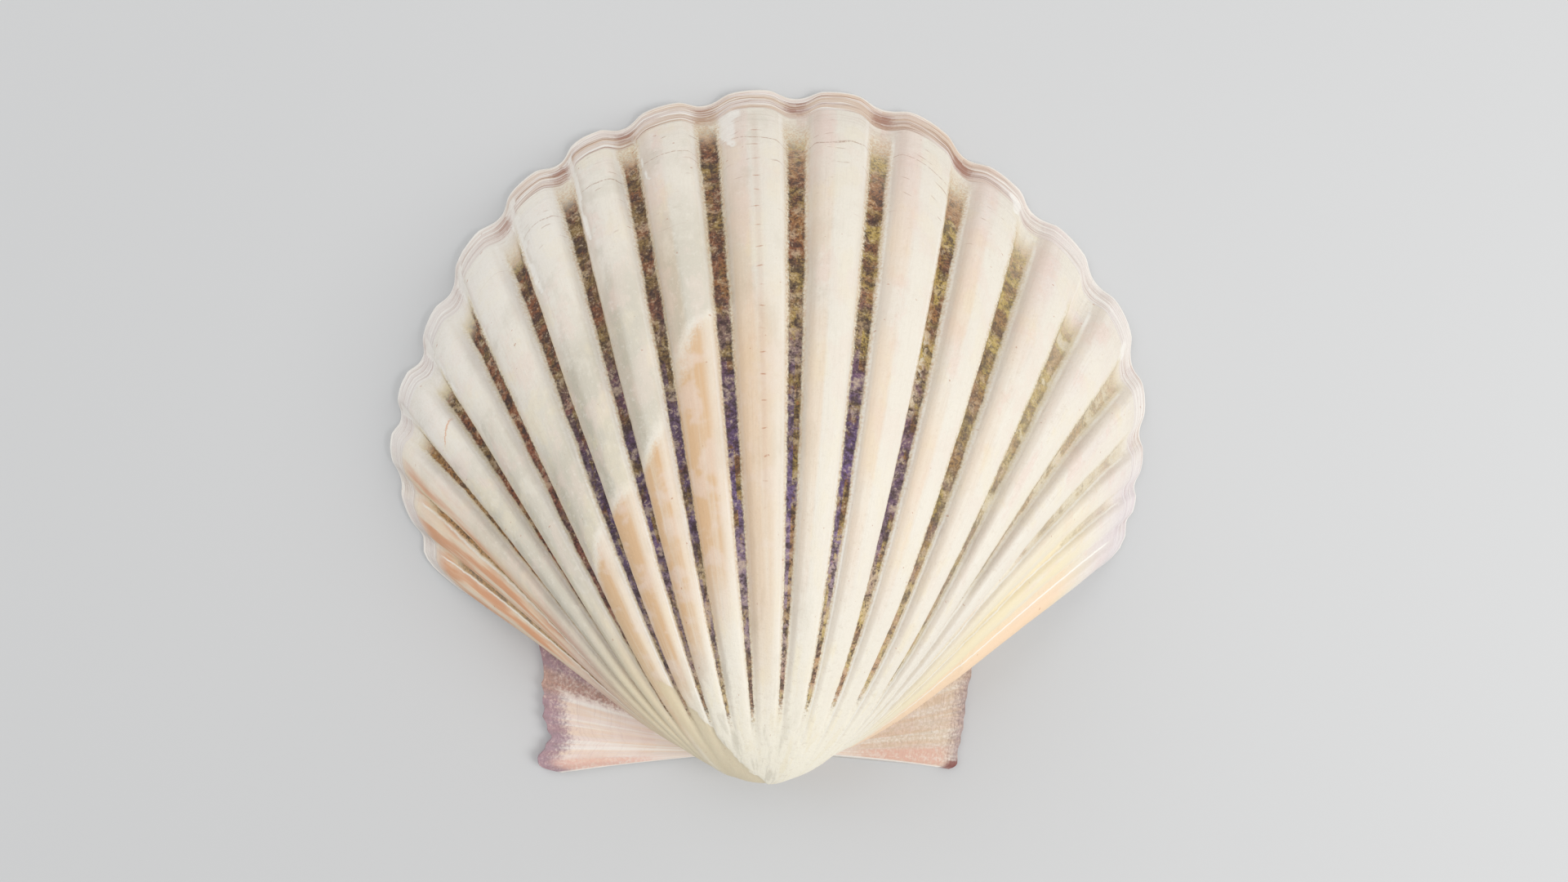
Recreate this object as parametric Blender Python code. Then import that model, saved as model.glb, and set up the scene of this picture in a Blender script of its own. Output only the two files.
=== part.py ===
"""One valve of a fossil scallop, lying on its rim with the outside up.

The beak is towards -Y, the wide ribbed rim towards +Y, and the ear with the byssal notch is on the -X
side. The valve grows as a log spiral about the hinge line: every point of the rim, followed back in
time, curls up and over and closes on the beak.
"""

import bpy
import numpy as np

MM = 0.001

# The rim in plan, on the groove bottoms, from the hinge corner of the notched ear round to the other
# one: bearing from the middle line in degrees, and reach from the beak in millimetres.
NOTCHED_EAR = (
    (-94.1, 30.8), (-91.6, 34.2), (-88.0, 33.4), (-84.2, 32.3), (-80.0, 33.6), (-73.5, 34.7),
    (-67.0, 36.4), (-62.4, 38.8),
)
DISC = (
    (-60.8, 41.0), (-60.2, 47.0), (-59.6, 54.0), (-58.2, 59.8), (-55.8, 63.4), (-51.0, 71.6),
    (-45.5, 77.2), (-38.0, 82.6), (-30.0, 89.8), (-22.0, 95.8), (-14.0, 100.1), (-4.0, 103.0),
    (6.0, 104.3), (13.0, 104.1), (20.5, 100.3), (29.0, 96.2), (38.0, 91.8), (45.0, 86.4),
    (52.0, 78.8), (58.0, 71.2), (61.6, 66.0), (62.8, 60.6), (62.8, 54.0), (62.7, 47.0),
    (62.7, 41.0),
)
PLAIN_EAR = (
    (64.6, 37.8), (71.0, 35.2), (77.0, 33.2), (85.0, 31.8), (91.0, 30.9), (95.3, 30.8),
    (96.9, 29.6),
)
FLANK = 2.5  # points of DISC at each end over which the steep flank rises from an ear

# Where the grooves meet the rim, in degrees from the middle line. A rib lies between each two.
GROOVES = (
    -56.6, -52.0, -46.4, -40.0, -33.0, -25.3, -18.4, -11.8, -4.3, 4.0, 11.8, 20.1, 28.2, 36.8,
    45.6, 52.0, 56.4, 59.8,
)
GROOVE_FLOOR = 0.08  # half the width of a groove's floor, as a share of the step between grooves
GROOVE_SIDE = 0.19  # where a groove's side meets the top of the rib
RIB_CROWN = 0.15  # how much lower a rib's shoulders are than its crest
RIB_HEIGHT = 2.4 * MM  # just behind the rim
RIM_RIBS = 0.68  # height of the ribs at the very rim, as a share of RIB_HEIGHT
RIM_SPREAD = 0.11  # how much wider a groove's side is there
RIM_SOFT = 0.07  # radians of turn over which the rim's softer relief dies out
FLANK_RIBS = 0.45  # height of the ribs at the foot of either flank, as a share of RIB_HEIGHT
FLANK_RIBS_FROM, FLANK_RIBS_TO = 42.0, 58.0
FIRST_RIBS, FULL_RIBS = 0.07, 0.28  # sizes of the young shell, as a share of its full size

# Growth: size = exp(-(SHRINK * turn + TIGHTEN * turn**2 / 2)), with the turn in radians.
SHRINK = 1.09
TIGHTEN = 0.26
EAR_FOLLOW = 0.10  # how much of the turn the nearly flat ears take part in
DOME = 0.45  # power of the cosine of the bearing that lifts the sides of the disc
HINGE_DIP = 1.6  # power of the size that bows the hinge edge of either ear
NARROWING = {-1: 6.0, 1: 9.0}  # degrees by which each side's flank was narrower in the young shell
NARROW_FROM, NARROW_FULL, NARROW_UNTIL, NARROW_END = 30.0, 50.0, 55.0, 66.0
UMBO_SWELL = 0.5 * MM
SWELL_FROM, SWELL_FULL = 0.3, 1.2  # radians of turn

EAR_WALL = 1.3 * MM
RIM_LIP = 0.5 * MM
RIM_WALL = 1.0 * MM
BODY_WALL = 2.2 * MM
BODY_FROM = 0.25  # radians of turn
YOUNG_WALL = 18.0 * MM  # wall of the young shell, for each unit of its size
INNER_RIBS = 0.75  # height of the ribs inside at the rim, as a share of those outside
INNER_RIBS_FADE = 0.35  # radians of turn
CAVITY_TURN = 1.10  # the turn where the cavity under the umbo ends
PLATE_TURN = 1.95  # the turn that the front edge of the hinge plate stands for
HINGE_PLATE = 4.5 * MM  # reach of the flat plate under the beak
BEAK_PLATE = 0.9 * MM

TURNS = (
    0.0, 0.018, 0.045, 0.08, 0.12, 0.17, 0.23, 0.30, 0.38, 0.47, 0.57, 0.68, 0.80, 0.94,
    CAVITY_TURN, 1.28, 1.48, 1.70, PLATE_TURN, 2.25, 2.6,
)

SHELL_COLOUR = (0.86, 0.80, 0.70, 1.0)
SHELL_ROUGHNESS = 0.55

MARGIN = np.array(NOTCHED_EAR + DISC + PLAIN_EAR)
DISC_START = len(NOTCHED_EAR)
DISC_END = DISC_START + len(DISC) - 1


def smooth(value, low, high):
    """0 below low, 1 above high, and a soft rise between them."""
    part = np.clip((value - low) / (high - low), 0.0, 1.0)
    return part * part * (3.0 - 2.0 * part)


def rim_at(place):
    """Bearing in radians and reach in metres at a place along MARGIN, which may lie between points."""
    last = len(MARGIN) - 1
    first = np.clip(np.floor(place).astype(int), 0, last - 1)
    part = (place - first)[..., None]
    before, start, end, after = (MARGIN[np.clip(first + k, 0, last)] for k in (-1, 0, 1, 2))
    cubic = 3.0 * (start - end) + after - before
    square = 2.0 * before - 5.0 * start + 4.0 * end - after
    point = start + 0.5 * part * (end - before + part * (square + part * cubic))
    return np.radians(point[..., 0]), point[..., 1] * MM


def rise(place):
    """0 on the ears, 1 on the disc, and between them on the steep flanks."""
    return smooth(place, DISC_START - 1, DISC_START - 1 + FLANK) * (
        1.0 - smooth(place, DISC_END + 1 - FLANK, DISC_END + 1)
    )


def size_at(turn):
    """Size of the young shell at this turn, as a share of full size."""
    return np.exp(-(SHRINK * turn + TIGHTEN * turn**2 / 2.0))


def growth(place, turn):
    """The surface through the groove bottoms, for places along the rim and turns back in time."""
    bearing, reach = rim_at(place)
    size = size_at(turn)
    away = np.degrees(np.abs(bearing))
    narrow = smooth(away, NARROW_FROM, NARROW_FULL) * (1.0 - smooth(away, NARROW_UNTIL, NARROW_END))
    most = np.where(bearing < 0.0, NARROWING[-1], NARROWING[1])
    bearing = bearing - np.sign(bearing) * np.radians(most) * narrow * (1.0 - size)
    across = size * reach * np.sin(bearing)
    ahead = np.cos(bearing)
    forward = reach * ahead * np.where(ahead < 0.0, size**HINGE_DIP, size)
    up = rise(place)
    angle = turn * (EAR_FOLLOW + (1.0 - EAR_FOLLOW) * up)
    dome = np.maximum(ahead, 0.2) ** (-DOME * up)
    return np.stack([across, forward * np.cos(angle), forward * np.sin(angle) * dome], axis=-1)


def outward(place, turn):
    """Unit normals of the growth surface, pointing out of the shell."""
    step = 1e-4
    high, low = np.minimum(place + step, len(MARGIN) - 1), np.maximum(place - step, 0)
    along = growth(high, turn) - growth(low, turn)
    back = growth(place, turn + step) - growth(place, turn - step)
    normal = np.cross(back, along)
    return normal / np.linalg.norm(normal, axis=-1, keepdims=True)


def rib_shape(place, turn):
    """Height of the ribs for a full-size shell: 0 in a groove, RIB_HEIGHT on a middle rib's crest."""
    bearing = np.degrees(rim_at(place)[0])
    count = np.interp(bearing, GROOVES, np.arange(len(GROOVES)))
    edge_step = GROOVES[1] - GROOVES[0]
    past = np.maximum(GROOVES[0] - bearing, bearing - GROOVES[-1]) / edge_step
    near = np.where(past > 0.0, np.minimum(past, 0.5), np.abs(count - np.round(count)))
    soft = np.exp(-((turn / RIM_SOFT) ** 2))
    side = smooth(near, GROOVE_FLOOR * (1.0 - soft), GROOVE_SIDE + RIM_SPREAD * soft)
    crown = 1.0 - RIB_CROWN * ((0.5 - near) / (0.5 - GROOVE_SIDE)) ** 2
    flank = smooth(np.abs(bearing), FLANK_RIBS_FROM, FLANK_RIBS_TO)
    height = RIB_HEIGHT * (1.0 - (1.0 - FLANK_RIBS) * flank) * (1.0 - (1.0 - RIM_RIBS) * soft)
    return height * side * crown * rise(place)


def outside(place, turn):
    """The outer face: growth, ribs, the swollen umbo and the lip that gives the rim its thickness."""
    size = size_at(turn)
    ribs = rib_shape(place, turn) * size * smooth(size, FIRST_RIBS, FULL_RIBS)
    swell = np.minimum(UMBO_SWELL, YOUNG_WALL * size) * smooth(turn, SWELL_FROM, SWELL_FULL)
    point = growth(place, turn) + outward(place, turn) * (ribs + swell * rise(place))[..., None]
    point[..., 2] += EAR_WALL + (RIM_LIP - EAR_WALL) * rise(place)
    return point


def cavity(place, turn):
    """The inner face of the disc and the flat underside of the ears."""
    size = size_at(turn)
    wall = RIM_WALL + (BODY_WALL - RIM_WALL) * smooth(turn, 0.0, BODY_FROM)
    wall = np.minimum(wall, YOUNG_WALL * size)
    ribs = INNER_RIBS * rib_shape(place, turn) * np.exp(-((turn / INNER_RIBS_FADE) ** 2))
    ears = (1.0 - rise(place)) * EAR_WALL
    point = growth(place, turn) + outward(place, turn) * (ribs - wall - ears)[..., None]
    point[..., 2] = np.maximum(point[..., 2], 0.0)
    return point


def inside(place, turn):
    """The whole underside: the cavity, the wall behind it and the hinge plate under the beak."""
    bearing, reach = rim_at(place)
    heading = np.stack([np.sin(bearing), np.cos(bearing), np.zeros_like(bearing)], axis=-1)
    top = cavity(place, np.minimum(turn, CAVITY_TURN))
    plate = HINGE_PLATE * heading
    down = np.clip((turn - CAVITY_TURN) / (PLATE_TURN - CAVITY_TURN), 0.0, 1.0)[..., None]
    bend = 0.15 * top + 0.85 * plate
    bend[..., 2] = 0.75 * top[..., 2]
    wall = (1.0 - down) ** 2 * top + 2.0 * down * (1.0 - down) * bend + down**2 * plate
    on = np.clip((turn - PLATE_TURN) / (TURNS[-1] - PLATE_TURN), 0.0, 1.0)[..., None]
    under_disc = wall + (BEAK_PLATE * heading - plate) * on
    under_ear = size_at(turn)[..., None] * reach[..., None] * heading
    on_ear = (rise(place) < 1e-9)[..., None]
    return np.where(on_ear, under_ear, under_disc)


def places_along_rim():
    """Places of the mesh's columns: corners of the ears, the flanks, and each groove and rib."""
    dense = np.linspace(DISC_START, DISC_END, 2001)
    bearings = np.degrees(rim_at(dense)[0])
    counts = []
    for groove in range(len(GROOVES)):
        counts += [groove - GROOVE_FLOOR, groove + GROOVE_FLOOR]
        if groove < len(GROOVES) - 1:
            counts += [groove + GROOVE_SIDE, groove + 0.5, groove + 1.0 - GROOVE_SIDE]
    counts = np.array(counts[1:-1])
    ribbed = np.interp(np.interp(counts, np.arange(len(GROOVES)), GROOVES), bearings, dense)
    first_edge = np.linspace(DISC_START + FLANK - 1.0, ribbed[0], 4)[:-1]
    last_edge = np.linspace(ribbed[-1], DISC_END - FLANK + 1.0, 4)[1:]
    first_ear = np.arange(0.0, DISC_START)
    last_ear = np.arange(DISC_END + 1.0, len(MARGIN))
    first_flank = DISC_START - 1.0 + np.array([0.5, 0.85, 1.2])
    last_flank = DISC_END + 1.0 - np.array([1.2, 0.85, 0.5])
    parts = [first_ear, first_flank, first_edge, ribbed, last_edge, last_flank, last_ear]
    return np.concatenate(parts)


def shell_faces(rows, columns):
    """Faces of a closed sheet: the outer grid, the inner grid after it, and the strips between."""
    def outer(row, column):
        return row * columns + column

    def inner(row, column):
        return (rows + row) * columns + column

    faces = []
    for row in range(rows - 1):
        for column in range(columns - 1):
            loop = ((row, column), (row + 1, column), (row + 1, column + 1), (row, column + 1))
            faces.append([outer(*corner) for corner in loop])
            faces.append([inner(*corner) for corner in reversed(loop)])
        end = columns - 1
        faces.append([outer(row + 1, 0), outer(row, 0), inner(row, 0), inner(row + 1, 0)])
        faces.append([outer(row, end), outer(row + 1, end), inner(row + 1, end), inner(row, end)])
    for column in range(columns - 1):
        end = rows - 1
        after = column + 1
        faces.append([outer(0, column), outer(0, after), inner(0, after), inner(0, column)])
        faces.append([outer(end, after), outer(end, column), inner(end, column), inner(end, after)])
    return faces


def shell_material():
    """Chalky old shell, between ivory and pale peach."""
    material = bpy.data.materials.new("shell")
    material.use_nodes = True
    principled = material.node_tree.nodes["Principled BSDF"]
    principled.inputs["Base Color"].default_value = SHELL_COLOUR
    principled.inputs["Roughness"].default_value = SHELL_ROUGHNESS
    principled.inputs["Metallic"].default_value = 0.0
    material.diffuse_color = SHELL_COLOUR
    return material


def make_valve():
    """The valve as one closed mesh, centred over the origin and resting on z = 0."""
    places = places_along_rim()
    turn, place = np.meshgrid(TURNS, places, indexing="ij")
    points = np.concatenate([outside(place, turn), inside(place, turn)]).reshape(-1, 3)
    middle = (points.min(axis=0) + points.max(axis=0)) / 2.0
    points[:, :2] -= middle[:2]
    mesh = bpy.data.meshes.new("scallop_valve")
    mesh.from_pydata(points.tolist(), [], shell_faces(len(TURNS), len(places)))
    mesh.materials.append(shell_material())
    mesh.shade_smooth()
    valve = bpy.data.objects.new("scallop_valve", mesh)
    bpy.context.scene.collection.objects.link(valve)
    return valve


for old in list(bpy.data.objects):
    bpy.data.objects.remove(old)
make_valve()
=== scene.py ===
"""Looks of one fossil scallop valve: its grown surface, its stains and the pale table it lies on."""

import math

import bpy
import numpy as np
from bpy.props import FloatProperty, FloatVectorProperty, PointerProperty
from bpy.types import Operator, Panel, PropertyGroup
from mathutils import Euler, Matrix, Vector


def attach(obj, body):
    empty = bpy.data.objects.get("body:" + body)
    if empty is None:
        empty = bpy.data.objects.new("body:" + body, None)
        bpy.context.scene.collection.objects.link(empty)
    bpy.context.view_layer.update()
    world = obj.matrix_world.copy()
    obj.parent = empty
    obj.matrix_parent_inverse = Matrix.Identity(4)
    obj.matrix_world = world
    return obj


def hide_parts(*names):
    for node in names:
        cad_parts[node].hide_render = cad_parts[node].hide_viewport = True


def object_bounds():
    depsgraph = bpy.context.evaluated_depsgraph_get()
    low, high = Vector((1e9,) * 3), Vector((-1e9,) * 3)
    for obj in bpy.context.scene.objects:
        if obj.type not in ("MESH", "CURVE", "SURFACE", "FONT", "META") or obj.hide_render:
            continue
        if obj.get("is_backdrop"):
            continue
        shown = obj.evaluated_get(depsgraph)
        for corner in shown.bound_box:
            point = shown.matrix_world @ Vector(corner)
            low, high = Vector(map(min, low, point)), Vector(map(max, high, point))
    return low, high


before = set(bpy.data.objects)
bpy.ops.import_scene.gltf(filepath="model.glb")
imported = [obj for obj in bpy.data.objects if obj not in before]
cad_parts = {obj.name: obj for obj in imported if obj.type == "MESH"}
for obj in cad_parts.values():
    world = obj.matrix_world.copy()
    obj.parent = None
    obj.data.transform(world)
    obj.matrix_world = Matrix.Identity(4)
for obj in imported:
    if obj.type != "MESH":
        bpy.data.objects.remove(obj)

bl_info = {
    "name": "Fossil scallop valve",
    "version": (1, 0, 0),
    "blender": (4, 5, 0),
    "location": "3D View > Sidebar > Scallop",
    "description": "Grows and colours one valve of a fossil scallop and sets its stage",
    "category": "Object",
}

NODE = "scallop_valve"
MM = 0.001

# The valve's form, in millimetres and degrees. It is the part's, but for the shape of the ribs, from
# GROOVE_FLOOR to FULL_RIBS, which is fitted closer to the photo here.
BEAK = (-3.103, -50.606)  # the beak on the hinge line, from the middle of the footprint
NOTCHED_EAR = (
    (-94.1, 30.8), (-91.6, 34.2), (-88.0, 33.4), (-84.2, 32.3), (-80.0, 33.6), (-73.5, 34.7),
    (-67.0, 36.4), (-62.4, 38.8),
)
DISC = (
    (-60.8, 41.0), (-60.2, 47.0), (-59.6, 54.0), (-58.2, 59.8), (-55.8, 63.4), (-51.0, 71.6),
    (-45.5, 77.2), (-38.0, 82.6), (-30.0, 89.8), (-22.0, 95.8), (-14.0, 100.1), (-4.0, 103.0),
    (6.0, 104.3), (13.0, 104.1), (20.5, 100.3), (29.0, 96.2), (38.0, 91.8), (45.0, 86.4),
    (52.0, 78.8), (58.0, 71.2), (61.6, 66.0), (62.8, 60.6), (62.8, 54.0), (62.7, 47.0),
    (62.7, 41.0),
)
PLAIN_EAR = (
    (64.6, 37.8), (71.0, 35.2), (77.0, 33.2), (85.0, 31.8), (91.0, 30.9), (95.3, 30.8),
    (96.9, 29.6),
)
GROOVES = (
    -56.6, -52.0, -46.4, -40.0, -33.0, -25.3, -18.4, -11.8, -4.3, 4.0, 11.8, 20.1, 28.2, 36.8,
    45.6, 52.0, 56.4, 59.8,
)
FLANK = 2.5  # places over which the fan rises from the ears
GROOVE_FLOOR, GROOVE_SIDE = 0.07, 0.23  # counts from a groove's middle where its wall starts and ends
INNER_STEEP = 0.05  # how much narrower a groove's wall is on the side of the middle rib
STEEP_FROM, STEEP_FULL = 5.0, 20.0  # degrees from the middle rib
RIB_CROWN = 0.22  # how much lower a rib's shoulders are than its crest, as a share
RIM_RIBS, RIM_SPREAD, RIM_SOFT = 0.54, 0.07, 0.07  # lower and softer ribs at the rim, for so many turns
GROOVE_SINK = 0.3  # how far the grooves lie below the smooth surface through them
FLANK_RIBS, FLANK_RIBS_FROM, FLANK_RIBS_TO = 0.45, 42.0, 58.0  # lower ribs towards the flanks
FIRST_RIBS, FULL_RIBS = 0.14, 0.40  # sizes of the young shell between which the ribs grow up
SHRINK, TIGHTEN = 1.09, 0.26  # how fast the young shell gets smaller with each turn back in time
EAR_FOLLOW = 0.10  # how much of the turn the nearly flat ears take part in
DOME = 0.45  # power of the cosine of the bearing that lifts the sides of the fan
HINGE_DIP = 1.6  # power of the size that bows the hinge edge of either ear
NARROWING = {-1: 6.0, 1: 9.0}  # degrees by which the young shell was narrower, on each side
NARROW_FROM, NARROW_FULL, NARROW_UNTIL, NARROW_END = 30.0, 50.0, 55.0, 66.0  # degrees from the middle rib
UMBO_SWELL, SWELL_FROM, SWELL_FULL = 0.5, 0.3, 1.2  # swelling near the beak, and the turns where it grows
EAR_WALL, RIM_LIP = 1.3, 0.5
RIM_WALL, BODY_WALL, BODY_FROM, YOUNG_WALL = 1.0, 2.2, 0.25, 18.0
INNER_RIBS, INNER_RIBS_FADE = 0.75, 0.35
CAVITY_TURN, PLATE_TURN, LAST_TURN = 1.10, 1.95, 2.6
HINGE_PLATE, BEAK_PLATE = 4.5, 0.9

MARGIN = np.array(NOTCHED_EAR + DISC + PLAIN_EAR)
DISC_START = len(NOTCHED_EAR)
DISC_END = DISC_START + len(DISC) - 1
LAST_PLACE = len(MARGIN) - 1
FULL_REACH = 104.0  # millimetres from the beak to the middle of the rim

# The mesh: columns run from the rim to the beak, and their number halves twice on the way.
HALF_RIB = (0.0, 0.028, 0.056, 0.084, 0.112, 0.14, 0.17, 0.20, 0.235, 0.28, 0.345, 0.42, 0.5)
EAR_COLUMNS = 6  # for each step between two points of an ear's outline
NOTCHED_FLANK_COLUMNS, PLAIN_FLANK_COLUMNS = 18, 16
ROW_RIM, ROW_BODY = 0.24, 0.80  # millimetres between rows
ROWS_WIDEN = (6.0, 30.0)  # millimetres behind the rim between which the rows draw apart
HALVE_AT, QUARTER_AT = 0.5, 0.22  # sizes of the young shell
INNER_EVERY = 6  # outer rows for each inner row
EAR_EDGE = 0.35  # place past the last point of an ear where the fan's own surface starts

# The outer face's finer relief, in millimetres unless a share or a count of grooves.
RIM_ROUNDING = 0.12  # how far the middle of the rim's edge stands out
RIB_WANDER = 0.022  # how far, in places, a rib's course sways
GROOVE_EDGES = (0.14, 0.22)  # counts from a groove's middle where its crust ends
CRUST_FROM = (5.0, 8.0)  # millimetres behind the rim where the crust starts
SKIN_HEIGHT, THREAD_HEIGHT = 0.03, 0.02
LAMINA_SPACING, LAMINA_FADE = 0.86, 6.0
REST_SOFTNESS, REST_LIFT_FADE = 0.22, 3.0
STEPPED_RIBS = (3.0, 6.5, 12.3, 14.3)  # the ribs with the highest growth steps: start, full, full, end

# Wedges flaked off the shoulders of ribs. Each has its edge across the ribs, counted in grooves from the
# notched side, and its width there, both first at the rim end and then at the far end, then the
# millimetres behind the rim where it starts and ends, and its depth.
FLAKES = (
    (2.08, 0.20, 2.24, 0.04, 0.8, 16.0, 0.20), (3.08, 0.22, 3.24, 0.05, 0.8, 20.0, 0.24),
    (4.05, 0.24, 4.22, 0.05, 0.8, 24.0, 0.28), (5.06, 0.24, 5.24, 0.06, 0.8, 27.0, 0.30),
    (6.04, 0.22, 6.20, 0.05, 0.8, 25.0, 0.28), (7.06, 0.07, 7.20, 0.04, 3.2, 19.0, 0.30),
    (7.98, 0.46, 8.24, 0.04, 4.9, 15.5, 0.26),
    (11.60, 0.24, 11.72, 0.05, 2.0, 8.0, 0.16), (13.66, 0.20, 13.74, 0.05, 3.0, 9.0, 0.14),
)
# Where the white layer has worn off the beak: places across the ribs, counted in grooves, and the size of
# the young shell below which it is gone there.
WORN_ACROSS = (4.0, 4.4, 5.1, 5.8, 6.4, 7.5, 8.8, 10.0, 12.0)
WORN_BELOW = (0.350, 0.335, 0.288, 0.240, 0.194, 0.146, 0.096, 0.04, 0.0)
WORN_FROM, WORN_FULL = 4.0, 4.9  # counts of grooves over which the wear sets in
WORN_DEPTH = 0.20
# The stain of each groove, from the notched side: millimetres behind the rim where it starts, the size of
# the young shell where it ends, and how dense it is.
STAIN_START = (15, 13, 11, 12, 11, 12, 10, 8.5, 7.5, 12, 12, 11, 11, 16, 8, 9, 12, 20)
STAIN_END = (
    0.44, 0.36, 0.31, 0.28, 0.26, 0.25, 0.24, 0.23, 0.23, 0.24, 0.24, 0.25, 0.27, 0.30, 0.48, 0.62,
    0.76, 0.9,
)
STAIN_SHARE = (0.7, 0.9, 1, 1, 1, 1, 1, 1, 1, 1, 1, 1, 0.97, 0.92, 0.85, 0.6, 0.35, 0)
# Steps in the surface where growth stopped for a while: millimetres behind the rim, and height.
GROWTH_RESTS = (
    (1.2, 0.15), (2.3, 0.12), (3.6, 0.14), (5.7, 0.32), (9.4, 0.06), (15.2, 0.06), (24.0, 0.06), (43.0, 0.05),
)
EAR_RIBLETS = (-71.5, -75.2, -79.0, -82.6, -86.0, -89.2, 68.0, 72.0, 76.4, 80.6, 84.8, 88.8)
RIBLET_WIDTH = 1.1  # degrees
EAR_RIPPLE = {-1: 0.013, 1: 0.004}  # how far the riblets push out each ear's edge, as a share of its reach

# Places of the colours. A patch of ribs has four counts of grooves: where it starts, is full, starts to
# fade and ends.
# The ribs under the painted shadow.
PAINTED_SHADOW_RIBS = (2.4, 4.2, 7.9, 8.9)
FLUSH_RIBS, FAINT_RIBS = (3.3, 4.3, 7.9, 8.2), (7.9, 8.2, 8.8, 9.0)
BANDED_RIBS = (3.0, 6.5, 10.6, 13.0)
HAIR_RIBS, RESTED_RIBS = (3.0, 7.0, 11.2, 12.4), (4.0, 6.0, 10.2, 11.5)
CRACKED_RIB = (2.42, 2.50, 2.80, 2.90)
DASHED_LINE = (8.49, 8.545, 8.56, 8.62)
CHIPPED_GROOVE, CHIPPED_SIZES = (10.78, 10.84, 10.96, 11.04), (0.585, 0.60, 0.695, 0.71)
CRACK_SLANT, CRACK_AT = -0.055, 0.706
PATCH_SLANT, PATCH_SHIFT = -0.05, 0.31  # the painted shadow on the middle ribs and the flush meet on a slant across the ribs
HEM_WIDTH, HEM_SWAY = 4.9, 1.6  # millimetres
REST_LINE = 14.6  # millimetres behind the rim
NOTCHED_FLANK, PLAIN_FLANK, PLAIN_FLANK_EDGE = (-47.0, -51.0), (50.0, 57.0), (58.5, 61.5)  # degrees
EAR_WEDGE, EAR_OLIVE, EAR_CORNER = 70.5, (66.0, 68.5, 71.0, 75.0), (94.6, 96.0)  # degrees
HINGE_BAND, HINGE_LINE, PLAIN_HINGE_SHIFT = (89.8, 92.4), 93.5, 2.7  # degrees
MANTLE_LINE = (0.70, 0.73, 0.735, 0.755)  # sizes of the young shell
SCAR_BEARING, SCAR_HALF_WIDTH = 14.0, 15.0  # degrees
SCAR_SIZE, SCAR_HALF_HEIGHT = 0.47, 0.11  # sizes of the young shell
SHELL_RELIEF, INNER_RELIEF = 0.09 * MM, 0.06 * MM  # depth of the finest relief, which is only shaded

# The camera stands over the valve: its turns about X, Y and Z, and the beak's place from it, in millimetres.
CAMERA_TURN = (-0.05254, 0.06068, 0.01357)
BEAK_SEEN = (-3.574, -48.459, -166.983)
LENS_PIXELS, FRAME_PIXELS, SENSOR = 1304.0, 1920.0, 36.0
CAMERA_NEAR = 0.005

# The lights, in metres.
KEY_AT, KEY_SIDE, KEY_COLOUR = (0.43, -0.16, 0.42), 0.34, (1.0, 0.99, 0.97)
FILL_AT, FILL_SIDE, FILL_COLOUR = (-0.42, 0.40, 0.56), 0.60, (1.0, 1.0, 1.0)
LIGHTS_FACE = (0.0, 0.0, 0.01)


def linear(red, green, blue):
    """A colour as Blender's shaders take it, from the 0 to 255 of a screen."""
    share = np.array([red, green, blue]) / 255.0
    return tuple(np.where(share <= 0.04045, share / 12.92, ((share + 0.055) / 1.055) ** 2.4).tolist())


def tone(name, about, *screen):
    """A colour property of the panel."""
    return FloatVectorProperty(
        name=name, description=about, subtype="COLOR", size=3, min=0.0, max=1.0, default=linear(*screen)
    )


def length(name, about, start, most, least=0.0):
    """A length property of the panel, from millimetres."""
    return FloatProperty(
        name=name, description=about, default=start * MM, min=least * MM, max=most * MM, unit="LENGTH"
    )


def smooth(value, low, high):
    """0 below low, 1 above high, and a soft rise between them."""
    part = np.clip((value - low) / (high - low), 0.0, 1.0)
    return part * part * (3.0 - 2.0 * part)


def plateau(value, low, top_low, top_high, high):
    """0 below low, 1 from top_low to top_high, 0 above high, and soft between them."""
    return smooth(value, low, top_low) * (1.0 - smooth(value, top_high, high))


def corner_value(x, y, z, seed):
    """A value from -1 to 1 for each corner of a grid, the same each run."""
    mixed = x * 374761393 + y * 668265263 + z * 1440662683 + seed * 974634777
    mixed = (mixed ^ (mixed >> 13)) * 1274126177
    mixed = mixed ^ (mixed >> 16)
    return (mixed & 0xFFFF) / 32767.5 - 1.0


def lumps(axes, spacing, seed):
    """Smooth noise from -1 to 1 over two or three axes, with one bump to each spacing."""
    axes = [axis / step for axis, step in zip(axes, np.broadcast_to(spacing, len(axes)))]
    axes += [0.0 * axes[0]] * (3 - len(axes))
    whole = [np.floor(axis).astype(np.int64) for axis in axes]
    part = [axis - base for axis, base in zip(axes, whole)]
    part = [share * share * (3.0 - 2.0 * share) for share in part]
    total = 0.0
    for corner in np.ndindex(2, 2, 2):
        weight = 1.0
        for share, end in zip(part, corner):
            weight = weight * (share if end else 1.0 - share)
        total = total + weight * corner_value(*(base + end for base, end in zip(whole, corner)), seed)
    return total


def rim_at(place):
    """Bearing in radians and reach in millimetres at a place along MARGIN."""
    first = np.clip(np.floor(place).astype(int), 0, LAST_PLACE - 1)
    part = (place - first)[..., None]
    before, start, end, after = (MARGIN[np.clip(first + k, 0, LAST_PLACE)] for k in (-1, 0, 1, 2))
    cubic = 3.0 * (start - end) + after - before
    square = 2.0 * before - 5.0 * start + 4.0 * end - after
    point = start + 0.5 * part * (end - before + part * (square + part * cubic))
    return np.radians(point[..., 0]), point[..., 1]


def rise(place):
    """0 on the ears, 1 on the fan, and between them on the steep flanks."""
    return plateau(place, DISC_START - 1, DISC_START - 1 + FLANK, DISC_END + 1 - FLANK, DISC_END + 1)


def size_at(turn):
    """Size of the young shell at this turn, as a share of full size."""
    return np.exp(-(SHRINK * turn + TIGHTEN * turn**2 / 2.0))


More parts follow.
